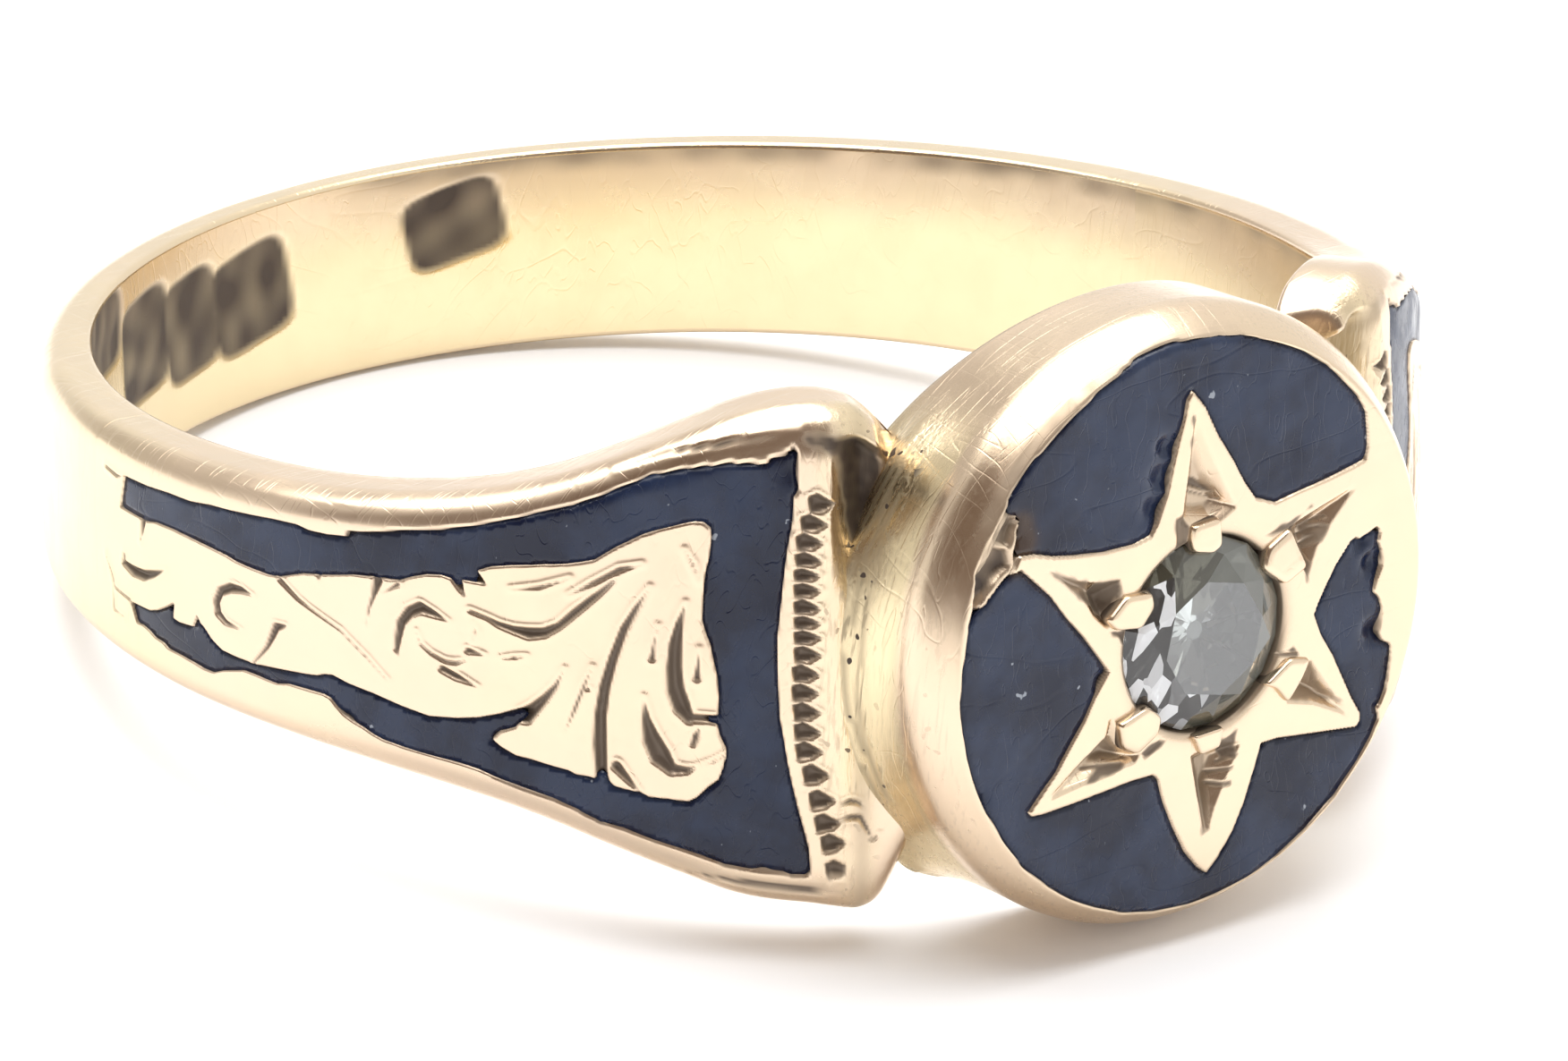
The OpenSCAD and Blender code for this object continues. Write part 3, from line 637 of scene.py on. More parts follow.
def shoulderMarks(angles, along, z, face, grime, mirror):
    # adds painted shade in the groove by the head, a painted dark reflection along the lower edge,
    # painted dark reflection with some patina in the hollow at the upper end and, on the far side,
    # the inner wall's painted reflection; then filing and paleness
    s = shoulderSizes
    outer = face == 1
    # painted shade in the groove beside the head
    groove = s["grooveShade"] * np.exp(-((along - s["grooveAt"]) / s["grooveWidth"])**2) * outer
    # painted dark reflection of the shaded floor along the lower edge
    lowLine = np.exp(-((z + halfWidth(angles) - s["lowLineUp"]) / s["lowLineWidth"])**2)
    lowLine = lowLine * smooth((along - 4.5) / 0.6) * (1 - smooth((along - 9) / 4)) * outer
    # painted dark reflection with some patina in the hollow at the upper end, fainter on the far shoulder
    hollow = smooth((insideDistance(along, z, pocketEdge) + 0.03 * ripple(along, z, 9, 0.35)) / 0.14 + 0.2)
    hollow = hollow * outer * (s["hollowReflectionAndPatina"] + 0.04 * ripple(along, z, 13, 0.3))
    hollow = hollow * (s["farHollow"] if mirror else 1)
    grime = np.maximum(grime, np.maximum(groove + s["lowLineDarkReflection"] * lowLine, hollow))
    # the far shoulder's inner wall gets the painted dark reflection along its upper edge
    if mirror:
        grime = np.where(face == -1, innerEdgeReflection(angles, z), grime)
    filed = smooth((along - s["filedFrom"]) / 0.25) * (1 - smooth((along - s["filedTo"]) / 0.2)) * outer
    filed = filed * (s["filed"] - 0.45 * smooth((-z - 1.6) / 0.6)) * (1 - 0.6 * smooth((along - 4.5) / 0.2))
    pale = np.maximum(s["filedPale"] * filed, np.where(face == -1, innerPale(z), 0.0))
    pale = np.maximum(pale, s["wornPale"] * smooth((along - s["wornFrom"]) / 3.5))
    return {"grime": grime.ravel(), "filed": filed.ravel(), "pale": pale.ravel()}


def makeShoulder(name, mirror):
    s = shoulderSizes
    hidden = np.linspace(bandSizes["hiddenAngle"], s["hiddenEnd"], s["hiddenRows"])
    shown = np.linspace(hidden[-1], bandSizes["seamAngle"], s["rows"])
    angles = np.concatenate([hidden[:-1], shown[:-1], [shown[-1] - s["seamRow"], shown[-1]]])
    radius, z, face = bandSection(angles, s["flatSteps"], s["edgeSteps"], s["innerSteps"])
    along = np.radians(angles)[:, None] * arcRadius + 0 * z
    # its lower end hangs a little lower beside the head
    drooping = np.exp(-((along - s["lowerEndAt"]) / s["lowerEndSpan"])**2) * smooth((-z - 2.3) / 0.8)
    z = z - s["lowerEnd"] * drooping
    outer = face == 1
    depth, grime = np.zeros(z.shape), np.zeros(z.shape)
    depth[outer], grime[outer] = shoulderRelief(along[outer], z[outer])
    radius = radius - depth - unevenFace(angles[:, None], z) * outer
    points, quads, caps = sweepBand(angles, radius, z)
    marks = shoulderMarks(angles[:, None], along, z, face, grime, mirror)
    return makePiece(name, mirrored(points) if mirror else points, quads, gold, marks, caps)


# The back of the band, with blank stamped marks on its inner wall

backSizes = {"rows": 260, "flatSteps": 24, "edgeSteps": 12, "innerSteps": 104, "stampDepth": 0.035,
             "stampUneven": 0.006, "stampGrime": 0.92, "stampEdge": 0.16, "reflectionFrom": 172}
# middle angle, z, half length and half height in mm, turn in degrees of each worn stamp
stamps = [(190.4, 0.54, 0.86, 0.62, 13), (165.6, 0.16, 0.90, 0.80, 11), (156.2, 0.12, 0.74, 0.84, 7),
          (146.8, 0.22, 0.88, 0.84, 4), (132.0, 0.96, 1.46, 0.62, -4)]


def stampRelief(angle, z):
    # worn blank punches: a soft-edged rounded box for each, pressed in and full of old tarnish
    s = backSizes
    depth, grime = np.zeros(z.shape), np.zeros(z.shape)
    for middle, height, halfLength, halfHeight, turn in stamps:
        t = math.radians(turn)
        u, v = np.radians(angle - middle) * boreRadius, z - height
        u, v = u * math.cos(t) + v * math.sin(t), v * math.cos(t) - u * math.sin(t)
        away = (np.abs(u / halfLength)**5 + np.abs(v / halfHeight)**5)**0.2
        mark = smooth((1 - away) / s["stampEdge"])
        uneven = ripple(u, v, int(middle), 0.9)
        depth = np.maximum(depth, mark * (s["stampDepth"] + s["stampUneven"] * uneven))
        grime = np.maximum(grime, mark * (s["stampGrime"] + 0.08 * uneven))
    return depth, grime


def makeBandBack():
    # reaches a little way under both shoulders' ends, so that no seam shows between them
    s, seam = backSizes, bandSizes["seamAngle"]
    start = seam - bandSizes["seamOverlap"]
    angles = np.linspace(start, 360 - start, s["rows"])
    radius, z, face = bandSection(angles, s["flatSteps"], s["edgeSteps"], s["innerSteps"])
    a = angles[:, None] + 0 * z
    inner = face == -1
    depth, grime = stampRelief(a, z)
    under = bandSizes["seamTuck"] * np.clip(seam - np.minimum(a, 360 - a), 0, 9)
    radius = np.where(inner, radius + depth, radius - unevenFace(a, z) * (face == 1))
    radius = np.where(radius > boreRadius + 0.2, radius - under, radius + under)
    z = z * (1 - 0.5 * under)
    points, quads, caps = sweepBand(angles, radius, z)
    # painted dark reflection along the inner wall's upper edge on the right-hand side
    grime = np.maximum(grime, innerEdgeReflection(360 - a, z) * smooth((a - s["reflectionFrom"]) / 14))
    marks = {"grime": (grime * inner).ravel(), "filed": np.zeros(z.size),
             "pale": np.where(inner, innerPale(z), 0.5).ravel()}
    return makePiece("bandBack", points, quads, gold, marks, caps)


# The head: x to the right and z up on its face, both in mm from its middle

headSizes = {
    "face": 10.4, "radius": 4.245, "foot": 4.195, "rimStart": 3.865, "flatRadius": 3.995, "columns": 600,
    "faceRows": 92, "rimRows": 18, "sideRows": 28, "stoneX": 0.22, "stoneZ": -0.16, "seatRadius": 1.36,
    "flare": 0.15, "filletReach": 0.24, "filletFrom": 0.80, "filletDeep": 0.95, "recess": 0.22,
    "recessSlope": 0.05, "cutDepth": 0.24, "cutSteepness": 1.05, "cutGrime": 0.30, "recessGrime": 0.8,
    "brokenDepth": 0.13, "ridgeHeight": 0.12, "brokenGrime": 0.82, "pale": 0.1, "rimFiled": 0.14,
}
# the seat under the stone, a cone that follows it and then a short wall: across, down
seatShape = [(0.02, 1.16), (0.18, 1.16), (0.45, 0.97), (0.85, 0.62), (1.17, 0.36), (1.30, 0.25),
             (1.34, 0.15), (1.35, 0.07)]
# the rim's section from the face to its side: across, down
rimShape = [(0, 0), (.040, .020), (.090, .080), (.145, .155), (.200, .235), (.255, .325), (.305, .420),
            (.350, .535), (.372, .650), (.380, .780)]
headEnamelEdge = [
    (-0.90, 3.87), (-0.40, 3.95), (0.00, 3.93), (0.42, 3.90), (0.80, 3.84), (1.30, 3.66), (1.83, 3.42),
    (2.25, 3.14), (2.54, 2.86), (2.78, 2.60), (2.92, 2.37), (2.95, 2.14), (2.97, 1.87), (2.92, 1.66),
    (2.40, 1.30), (2.40, 0.90), (2.72, 0.62), (2.79, 0.70), (2.83, 0.60), (3.01, 0.65), (3.16, 0.71),
    (3.22, 0.64), (3.19, 0.49), (3.26, 0.34), (3.26, 0.14), (3.15, -0.07), (3.12, -0.20), (3.22, -0.30),
    (3.28, -0.48), (3.26, -0.65), (3.23, -0.80), (3.28, -0.91), (3.44, -1.01), (3.44, -1.19), (3.41, -1.42),
    (3.36, -1.63), (3.28, -1.80), (3.21, -1.86), (3.25, -2.01), (3.10, -2.28), (2.91, -2.54), (2.51, -2.95),
    (2.01, -3.31), (1.48, -3.60), (1.01, -3.78), (0.48, -3.89), (0.00, -3.92), (-0.58, -3.88), (-1.10, -3.77),
    (-1.58, -3.58), (-1.99, -3.37), (-2.37, -3.09), (-2.78, -2.74), (-3.08, -2.36), (-3.31, -1.98),
    (-3.46, -1.75), (-3.53, -1.60), (-3.64, -1.31), (-3.74, -0.98), (-3.81, -0.63), (-3.86, -0.28),
    (-3.85, 0.05), (-3.81, 0.34), (-3.76, 0.60), (-3.72, 0.84), (-3.64, 0.96), (-3.46, 1.06), (-3.31, 1.19),
    (-3.19, 1.28), (-3.02, 1.37), (-2.70, 1.42), (-2.70, 1.56), (-2.96, 1.58), (-2.93, 1.87), (-2.88, 2.05),
    (-2.96, 2.14), (-3.08, 2.18), (-3.14, 2.27), (-3.02, 2.49), (-2.86, 2.66), (-2.64, 2.86), (-2.34, 3.08),
    (-2.02, 3.31), (-1.61, 3.55), (-1.16, 3.75),
]
starEdge = [
    (-0.05, 3.24), (0.16, 2.99), (0.39, 2.55), (0.66, 2.14), (0.85, 1.81), (1.04, 1.55), (1.39, 1.41),
    (1.80, 1.48), (2.30, 1.55), (2.75, 1.64), (3.10, 1.74), (3.40, 1.40), (3.10, 0.80), (2.69, 0.60),
    (2.45, 0.34), (2.28, 0.08), (2.14, -0.16), (2.08, -0.30), (2.20, -0.60), (2.40, -0.92), (2.57, -1.25),
    (2.75, -1.60), (2.91, -1.86), (2.91, -1.98), (2.85, -2.05), (2.40, -2.00), (1.90, -1.94), (1.48, -1.89),
    (1.19, -1.90), (1.07, -2.25), (0.92, -2.66), (0.72, -3.04), (0.48, -3.33), (0.28, -3.51), (0.14, -3.40),
    (-0.08, -3.13), (-0.28, -2.75), (-0.45, -2.36), (-0.55, -2.00), (-0.64, -1.92), (-0.99, -1.92),
    (-1.49, -1.96), (-1.99, -2.01), (-2.49, -2.04), (-2.66, -2.03), (-2.71, -1.97), (-2.49, -1.75),
    (-2.25, -1.51), (-2.02, -1.19), (-1.81, -0.92), (-1.64, -0.63), (-1.40, -0.31), (-1.58, -0.07),
    (-1.84, 0.28), (-2.11, 0.58), (-2.37, 0.93), (-2.64, 1.19), (-2.95, 1.48), (-2.95, 1.56), (-2.66, 1.56),
    (-2.34, 1.46), (-1.99, 1.40), (-1.49, 1.34), (-0.99, 1.34), (-0.72, 1.40), (-0.60, 1.56), (-0.44, 1.93),
    (-0.36, 2.28), (-0.28, 2.58), (-0.18, 2.90), (-0.13, 3.14),
]
# the bright cut in each arm
armCuts = [
    [(0.02, 3.00), (0.12, 2.70), (0.40, 2.10), (0.72, 1.50), (0.35, 1.32), (-0.20, 1.42), (-0.18, 1.70),
     (-0.08, 2.40)],
    [(2.78, 1.38), (2.20, 1.22), (1.58, 1.03), (1.75, 0.60), (1.95, 0.28), (2.15, 0.75), (2.45, 1.05)],
    [(2.72, -1.85), (2.35, -1.35), (2.03, -0.90), (1.75, -1.20), (1.60, -1.42), (2.10, -1.55)],
    [(0.28, -2.97), (0.10, -2.40), (-0.02, -1.80), (0.40, -1.70), (0.85, -1.80), (0.62, -2.20),
     (0.42, -2.60)],
    [(-2.43, -1.87), (-1.90, -1.48), (-1.45, -1.20), (-1.38, -0.95), (-1.15, -1.35), (-0.87, -1.57),
     (-0.95, -1.68), (-1.60, -1.75)],
    [(-2.55, 1.35), (-2.00, 1.07), (-1.55, 0.95), (-1.20, 0.90), (-1.25, 0.55), (-1.45, 0.28), (-1.68, 0.50),
     (-1.90, 0.85), (-2.25, 1.15)],
]
# short strokes that the graver left in the cuts: x, z, width
strokes = [
    [(-0.08, 2.02, .05), (0.30, 1.84, .03)], [(0.02, 1.93, .05), (0.42, 1.72, .03)],
    [(0.05, 1.80, .05), (0.50, 1.62, .03)],
    [(2.30, 1.02, .04), (1.95, 0.92, .05)], [(2.22, 0.90, .04), (1.92, 0.80, .05)],
    [(2.12, 0.78, .04), (1.90, 0.66, .05)],
    [(0.55, -2.05, .06), (0.78, -1.95, .04)], [(0.42, -2.18, .07), (0.70, -2.12, .04)],
    [(0.40, -2.32, .08), (0.66, -2.34, .07)], [(-1.75, -1.62, .05), (-1.15, -1.66, .04)],
    [(1.30, -0.70, .03), (1.78, -0.78, .08)],
]
# painted shade and dark reflection in the arms and beside the grains: how dark, corners
armShades = [
    (0.75, [(-.04, 2.90), (.05, 2.60), (.10, 2.10), (.02, 2.03), (-.08, 2.20)]),
    (0.80, [(-.08, 1.98), (.15, 1.97), (.43, 1.76), (.40, 1.70), (.10, 1.82), (-.10, 1.85)]),
    (0.75, [(-.32, 1.55), (-.10, 1.62), (-.10, 1.25), (-.05, 1.02), (-.30, 1.08)]),
    (0.75, [(1.15, 1.00), (1.60, 1.10), (2.00, 1.24), (1.62, 1.02), (1.35, .96)]),
    (0.85, [(1.62, 1.06), (1.76, 1.00), (1.99, .45), (1.95, .20), (1.84, .45)]),
    (0.60, [(1.90, .95), (2.35, .93), (2.20, .70), (1.92, .62), (1.98, .80)]),
    (0.45, [(2.04, -.90), (1.62, -1.38), (2.60, -1.64), (2.20, -1.25)]),
    (0.50, [(.03, -1.87), (.45, -1.84), (.40, -2.25), (.33, -2.90), (.20, -2.95), (.12, -2.40)]),
    (0.80, [(.50, -1.68), (.78, -1.62), (.75, -2.00), (.60, -2.05), (.52, -1.85)]),
    (0.80, [(-1.82, -1.80), (-1.50, -1.62), (-1.10, -1.66), (-1.30, -1.76)]),
    (0.55, [(-2.10, -1.72), (-1.50, -1.22), (-1.32, -1.25), (-1.12, -1.60), (-1.60, -1.55)]),
    (0.80, [(-.90, -1.57), (-.55, -1.44), (-.42, -1.50), (-.80, -1.68)]),
    (0.80, [(-1.66, .94), (-1.22, .92), (-1.20, .66), (-1.50, .42), (-1.66, .62)]),
    (0.55, [(-2.40, 1.27), (-1.70, .97), (-1.62, .60), (-1.92, .80)]),
    (0.85, [(-1.42, .24), (-1.00, .20), (-.95, .05), (-1.12, -.04), (-1.24, .10)]),
    (0.80, [(1.50, -.70), (1.84, -.76), (1.72, -.66)]),
]
# where the rim is broken beside the enamel, and the ridges left standing there
brokenRim = [(-3.40, 1.05), (-3.02, 1.34), (-2.86, 1.60), (-2.84, 2.06), (-3.06, 2.24), (-3.02, 2.52),
             (-3.08, 2.36), (-3.24, 2.12), (-3.40, 1.90), (-3.53, 1.67), (-3.62, 1.47), (-3.67, 1.06),
             (-3.76, 0.76)]
brokenRidges = [
    [(-3.02, 2.35, 0.03), (-3.18, 2.09, 0.05), (-3.34, 1.86, 0.07), (-3.47, 1.65, 0.05), (-3.54, 1.50, 0.03)],
    [(-2.87, 2.04, 0.06), (-2.95, 1.90, 0.10), (-3.03, 1.70, 0.12), (-3.03, 1.48, 0.08), (-3.10, 1.40, 0.10)],
    [(-3.34, 1.85, 0.04), (-3.19, 1.78, 0.08), (-3.03, 1.71, 0.05)],
    [(-3.13, 1.40, 0.12), (-3.31, 1.28, 0.12), (-3.42, 1.15, 0.12), (-3.54, 0.98, 0.08), (-3.63, 0.81, 0.04)],
]


def rimLine(steps):
    # a smooth curve through the rim's section, as across and down
    at = np.linspace(0, len(rimShape) - 1, steps)
    return [readTable([(i, point[n]) for i, point in enumerate(rimShape)], at) for n in (0, 1)]


def rimDrop(x, z):
    # how far the face has begun to turn over at that distance from its middle
    across, down = rimLine(90)
    return np.interp(np.hypot(x, z) - headSizes["rimStart"], across, down)


def rimBrownStrip(x, z):
    # a brownish strip along the enamel's upper left border
    rho, turn = np.hypot(x, z), np.degrees(np.arctan2(z, x))
    strip = smooth((rho - 3.80) / 0.06) * (1 - smooth((rho - 3.98) / 0.09))
    strip = strip * smooth((turn - 70) / 25) * (1 - smooth((turn - 138) / 20))
    return strip * (0.34 + 0.10 * ripple(x, z, 19, 0.5))


def headEnamelDistance(x, z):
    return np.minimum(insideDistance(x, z, headEnamelEdge), -insideDistance(x, z, starEdge))


def headRelief(x, z):
    # depth below the face: the enamel's recess, the bright cuts falling to a line along their
    # middles, the graver's strokes and the broken place at the rim; and the grime in them, with
    # painted shade and dark reflection in the arms and beside the grains, where the face also
    # sinks a little, and the rim's brown strip
    sizes = headSizes
    inEnamel = headEnamelDistance(x, z)
    depth = sizes["recess"] * smooth(inEnamel / sizes["recessSlope"])
    grime = sizes["recessGrime"] * smooth(inEnamel / 0.02)
    for corners in armCuts:
        into = insideDistance(x, z, corners)
        depth = np.maximum(depth, np.clip(sizes["cutSteepness"] * into, 0, sizes["cutDepth"]))
        grime = np.maximum(grime, sizes["cutGrime"] * smooth((into - 0.10) / 0.14))
    # painted shade and dark reflection in the arms and beside the grains
    for dark, corners in armShades:
        into = insideDistance(x, z, corners)
        grime = np.maximum(grime, dark * smooth((into + 0.02 + 0.02 * ripple(x, z, 8, 0.3)) / 0.05))
        depth = depth + 0.03 * smooth(into / 0.06)
    for points in strokes:
        into = cutDistance(x, z, points)
        depth = depth + np.clip(0.9 * into, 0, 0.04)
        grime = np.maximum(grime, 0.7 * smooth((into + 0.01) / 0.03))
    broken = smooth(insideDistance(x, z, brokenRim) / 0.06)
    ridge = smooth((np.max([cutDistance(x, z, points) for points in brokenRidges], 0) + 0.03) / 0.06)
    sunk = sizes["brokenDepth"] + 0.03 * ripple(x, z, 5, 0.5) - sizes["ridgeHeight"] * ridge
    depth = depth + broken * sunk + rimDrop(x, z)
    dark = sizes["brokenGrime"] + 0.15 * ripple(x, z, 6, 0.45)
    grime = np.maximum(grime, broken * dark * (1 - 0.85 * ridge))
    grime = np.maximum(grime, rimBrownStrip(x, z))
    return depth, grime


def makeHead():
    # the face and the rim turned over as their sections say, then the side, which runs down to
    # the finger hole, and a back that follows the hole; all on loops round the head's middle
    sizes = headSizes
    columns = sizes["columns"]
    turn = np.linspace(0, 2 * np.pi, columns, endpoint=False)[None, :]
    cosTurn, sinTurn = np.cos(turn), np.sin(turn)
    flatRadius = sizes["flatRadius"]
    seat = np.array(seatShape)
    faceRho = np.linspace(sizes["seatRadius"], flatRadius, sizes["faceRows"])
    rho = np.concatenate([seat[:, 0], faceRho])[:, None]
    toMiddle = smooth((rho - sizes["seatRadius"]) / (flatRadius - sizes["seatRadius"]))
    x = rho * cosTurn + sizes["stoneX"] * (1 - toMiddle)
    z = rho * sinTurn + sizes["stoneZ"] * (1 - toMiddle)
    depth, grime = headRelief(x, z)
    inSeat = rho[:, 0] < sizes["seatRadius"] - 0.001
    depth[inSeat] = seat[:, 1:2]
    nearStone = np.exp(-np.clip(rho - sizes["seatRadius"], 0, 9) / 0.05)
    depth = depth + np.where(inSeat[:, None], 0, 0.05 * nearStone)
    # painted shade round the stone's edge on the face
    grime = np.maximum(grime, 0.35 * nearStone)
    # painted shade in the seat under the stone
    grime[inSeat] = np.interp(rho[inSeat], [1.25, 1.35], [0.93, 0.50])
    depth = depth + 0.003 * ripple(x, z, 11, 1.3) * ~inSeat[:, None]
    faceY = -sizes["face"] + depth
    across, fall = rimLine(sizes["rimRows"] * 2)
    kept = across > flatRadius - sizes["rimStart"] + 0.01
    rimR = sizes["rimStart"] + across[kept][:, None] + 0 * turn
    rimY = -sizes["face"] + fall[kept][:, None] + 0 * turn
    endY = -np.sqrt(boreRadius**2 - (sizes["foot"] * cosTurn)**2)
    down = np.linspace(0, 1, sizes["sideRows"])[1:, None]
    sideY = rimY[-1:] + down * (endY - rimY[-1:])
    sideR = sizes["radius"] + (sizes["foot"] - sizes["radius"]) * down + 0 * turn
    # where a shoulder joins it, the side flares and runs out in a hollow fillet that ends inside
    # the band; nothing of it fills the dark hollow at the upper end
    below = (sideY + sizes["face"] - sizes["filletFrom"]) / sizes["filletDeep"]
    most = np.clip(below, 0, 1)
    tuck = np.where(below > 1, 1 - smooth((below - 1) / 0.6), 1)
    up = sideR * sinTurn
    beside = 1 - smooth((np.where(up > 0, up + 1.4, -up - 0.35) - 2.4) / 0.9)
    wide = 1 - smooth((np.where(up > 0, up, -up - 0.3) - 2.5) / 0.9)
    fillet = sizes["filletReach"] * (1 - np.sqrt(1 - most**2))
    sideR = sideR + tuck * (sizes["flare"] * most * wide + fillet * beside)
    backR = sizes["foot"] * np.linspace(1, 0.004, 14)[1:, None] + 0 * turn
    backY = -np.sqrt(boreRadius**2 - (backR * cosTurn)**2)
    restR = np.concatenate([rimR, sideR, backR])
    restY = np.concatenate([rimY, sideY, backY])
    allX = np.concatenate([x, restR * cosTurn])
    allZ = np.concatenate([z, restR * sinTurn])
    points = np.stack([allX, np.concatenate([faceY, restY]), allZ], -1).reshape(-1, 3)
    poles = [[sizes["stoneX"], -sizes["face"] + seat[0, 1], sizes["stoneZ"]], [0, -boreRadius, 0]]
    points = np.concatenate([points, poles])
    # painted shade: brown streaks low on the side beside the shoulders, and a thin dark line under the rim
    cleaner = 1 - 0.85 * smooth((-up - 1.7) / 0.8)
    sideShade = 0.10 * smooth((below - 0.45) / 0.25) * beside * cleaner
    streaks = smooth((ripple(below * sizes["filletDeep"], 0.1 * up, 23, 0.16) + 0.25) / 0.7)
    sideShade = np.maximum(sideShade, 0.42 * streaks * smooth((below - 0.5) / 0.2) * wide * cleaner)
    darkLine = np.exp(-((below - 0.10) / 0.035)**2 - ((up + 1.0) / 1.4)**2)
    sideShade = np.maximum(sideShade, 0.5 * darkLine * beside)
    rimStripDark = rimBrownStrip(rimR * cosTurn, rimR * sinTurn)
    clean = np.zeros(backR.shape)
    sideFiled = 0.15 + 0.85 * smooth((below - 0.45) / 0.2) * wide * cleaner
    sidePale = sizes["pale"] + 0.8 * wide * smooth(below / 0.1)
    facePale, rimPale = np.full(x.shape, sizes["pale"]), np.full(rimR.shape, sizes["pale"])
    # the seat's pole carries the painted shade under the stone
    zones = {"grime": (grime, rimStripDark, sideShade, clean, [0.8, 0]),
             "filed": (0 * x, 0 * rimR + sizes["rimFiled"], sideFiled, clean, [0, 0]),
             "pale": (facePale, rimPale, sidePale, clean + 0.9, [0, 0.9])}
    marks = {name: np.concatenate([np.ravel(part) for part in parts]) for name, parts in zones.items()}
    return makePiece("headCup", points, closedGrid(len(allX), columns), gold, marks)


# The grains that hold the stone: height above the face and the corners of each top, x and z
grainShapes = [
    (0.08, [(-.06, 1.40), (.40, 1.42), (.43, 1.05), (.28, .97), (-.04, 1.05), (-.08, 1.22)]),
    (0.09, [(1.15, .56), (1.24, .82), (1.60, 1.02), (1.72, .74), (1.86, .46), (1.50, .28)]),
    (0.08, [(1.20, -1.06), (1.64, -.80), (1.98, -.88), (1.84, -1.12), (1.60, -1.40), (1.40, -1.16)]),
    (0.07, [(.00, -1.52), (.50, -1.50), (.44, -1.76), (.12, -1.80)]),
    (0.09, [(-1.28, -1.06), (-.80, -.92), (-.56, -1.12), (-.60, -1.34), (-.96, -1.54), (-1.20, -1.40)]),
    (0.09, [(-1.48, .42), (-1.18, .68), (-.74, .64), (-.70, .44), (-.92, .20), (-1.34, .26)]),
]


def grainOutline(corners, count):
    # the corners joined by straight sides, cut into even steps and rounded by averaging
    closed = np.array(corners + corners[:1], float)
    walked = np.concatenate([[0], np.cumsum(np.hypot(*np.diff(closed, axis=0).T))])
    at = np.linspace(0, walked[-1], count, endpoint=False)
    line = np.stack([np.interp(at, walked, closed[:, n]) for n in (0, 1)], -1)
    for _ in range(3):
        line = (np.roll(line, 1, 0) + 2 * line + np.roll(line, -1, 0)) / 4
    return line


def makeGrains():
    # each grain is a low lump with a flat top: its outline carried up a profile, size by level,
    # and tipped a little
    allPoints, allQuads, start = [], [], 0
    rise = np.array([(1.10, 0.00), (1.08, 0.60), (1.05, 0.80), (0.99, 0.95), (0.90, 1.0), (0.60, 1.0),
                     (0.02, 1.0)])
    columns, sunk = 56, 0.25
    size, level = rise[:, :1], rise[:, 1:]
    for number, (height, corners) in enumerate(grainShapes):
        draw = np.random.default_rng(30 + number)
        line = grainOutline(corners, columns)
        x, z = line.mean(0)
        px, pz = x + size * (line[:, 0] - x)[None, :], z + size * (line[:, 1] - z)[None, :]
        lean = draw.uniform(-0.06, 0.06) * (px - x) + draw.uniform(-0.06, 0.06) * (pz - z)
        py = -headSizes["face"] + sunk - level * (sunk + height + lean)
        poles = [[x, -headSizes["face"] + sunk, z], [x, -headSizes["face"] - height, z]]
        allPoints.append(np.concatenate([np.stack([px, py, pz], -1).reshape(-1, 3), poles]))
        allQuads.append(closedGrid(len(rise), columns) + start)
        start += len(allPoints[-1])
    points = np.concatenate(allPoints)
    # painted shade at each grain's foot, where it meets the face
    low = smooth((points[:, 1] + headSizes["face"] + 0.02) / 0.06)
    marks = {"grime": 0.9 * low, "filed": np.zeros(len(points)), "pale": np.full(len(points), 0.1)}
    return makePiece("beadGrains", points, np.concatenate(allQuads), gold, marks)


# Enamel: a flat grid cut to its outline, its border drawn onto it, then laid in its recess

def enamelSheet(distance, xRange, zRange, pitch, border, floorBorder):
    # keeps the grid cells whose corners are inside, and moves the border's points along the
    # distance's slope until they lie at the wanted distance; returns the top's and the bottom's
    # points, the quads and the border's edges
    xs = np.arange(xRange[0], xRange[1] + pitch, pitch)
    zs = np.arange(zRange[0], zRange[1] + pitch, pitch)
    x, z = np.meshgrid(xs, zs, indexing="ij")
    keep = distance(x, z) > border
    cells = keep[:-1, :-1] & keep[1:, :-1] & keep[1:, 1:] & keep[:-1, 1:]
    i, j = np.nonzero(cells)
    columns = len(zs)
    corner = i * columns + j
    quads = np.stack([corner, corner + columns, corner + columns + 1, corner + 1], -1)
    edges = np.concatenate([quads[:, [0, 1]], quads[:, [1, 2]], quads[:, [2, 3]], quads[:, [3, 0]]])
    ordered = np.sort(edges, 1)
    keys = ordered[:, 0] * x.size + ordered[:, 1]
    index, counts = np.unique(keys, return_index=True, return_counts=True)[1:]
    rim = edges[index[counts == 1]]
    used, compact = np.unique(quads, return_inverse=True)
    quads = compact.reshape(-1, 4)
    lookup = np.full(x.size, -1)
    lookup[used] = np.arange(len(used))
    rim = lookup[rim]
    flat = np.stack([x.ravel()[used], z.ravel()[used]], -1)
    onRim = np.unique(rim)

    def drawn(level, pull):
        moved = flat.copy()
        step = 0.004
        for _ in range(pull):
            px, pz = moved[onRim, 0], moved[onRim, 1]
            here = distance(px, pz)
            gx = (distance(px + step, pz) - distance(px - step, pz)) / (2 * step)
            gz = (distance(px, pz + step) - distance(px, pz - step)) / (2 * step)
            push = np.clip(level - here, -pitch, pitch) / np.maximum(gx * gx + gz * gz, 0.25)
            moved[onRim, 0] += push * gx
            moved[onRim, 1] += push * gz
        return moved
    return drawn(border, 4), drawn(floorBorder, 3), quads, rim


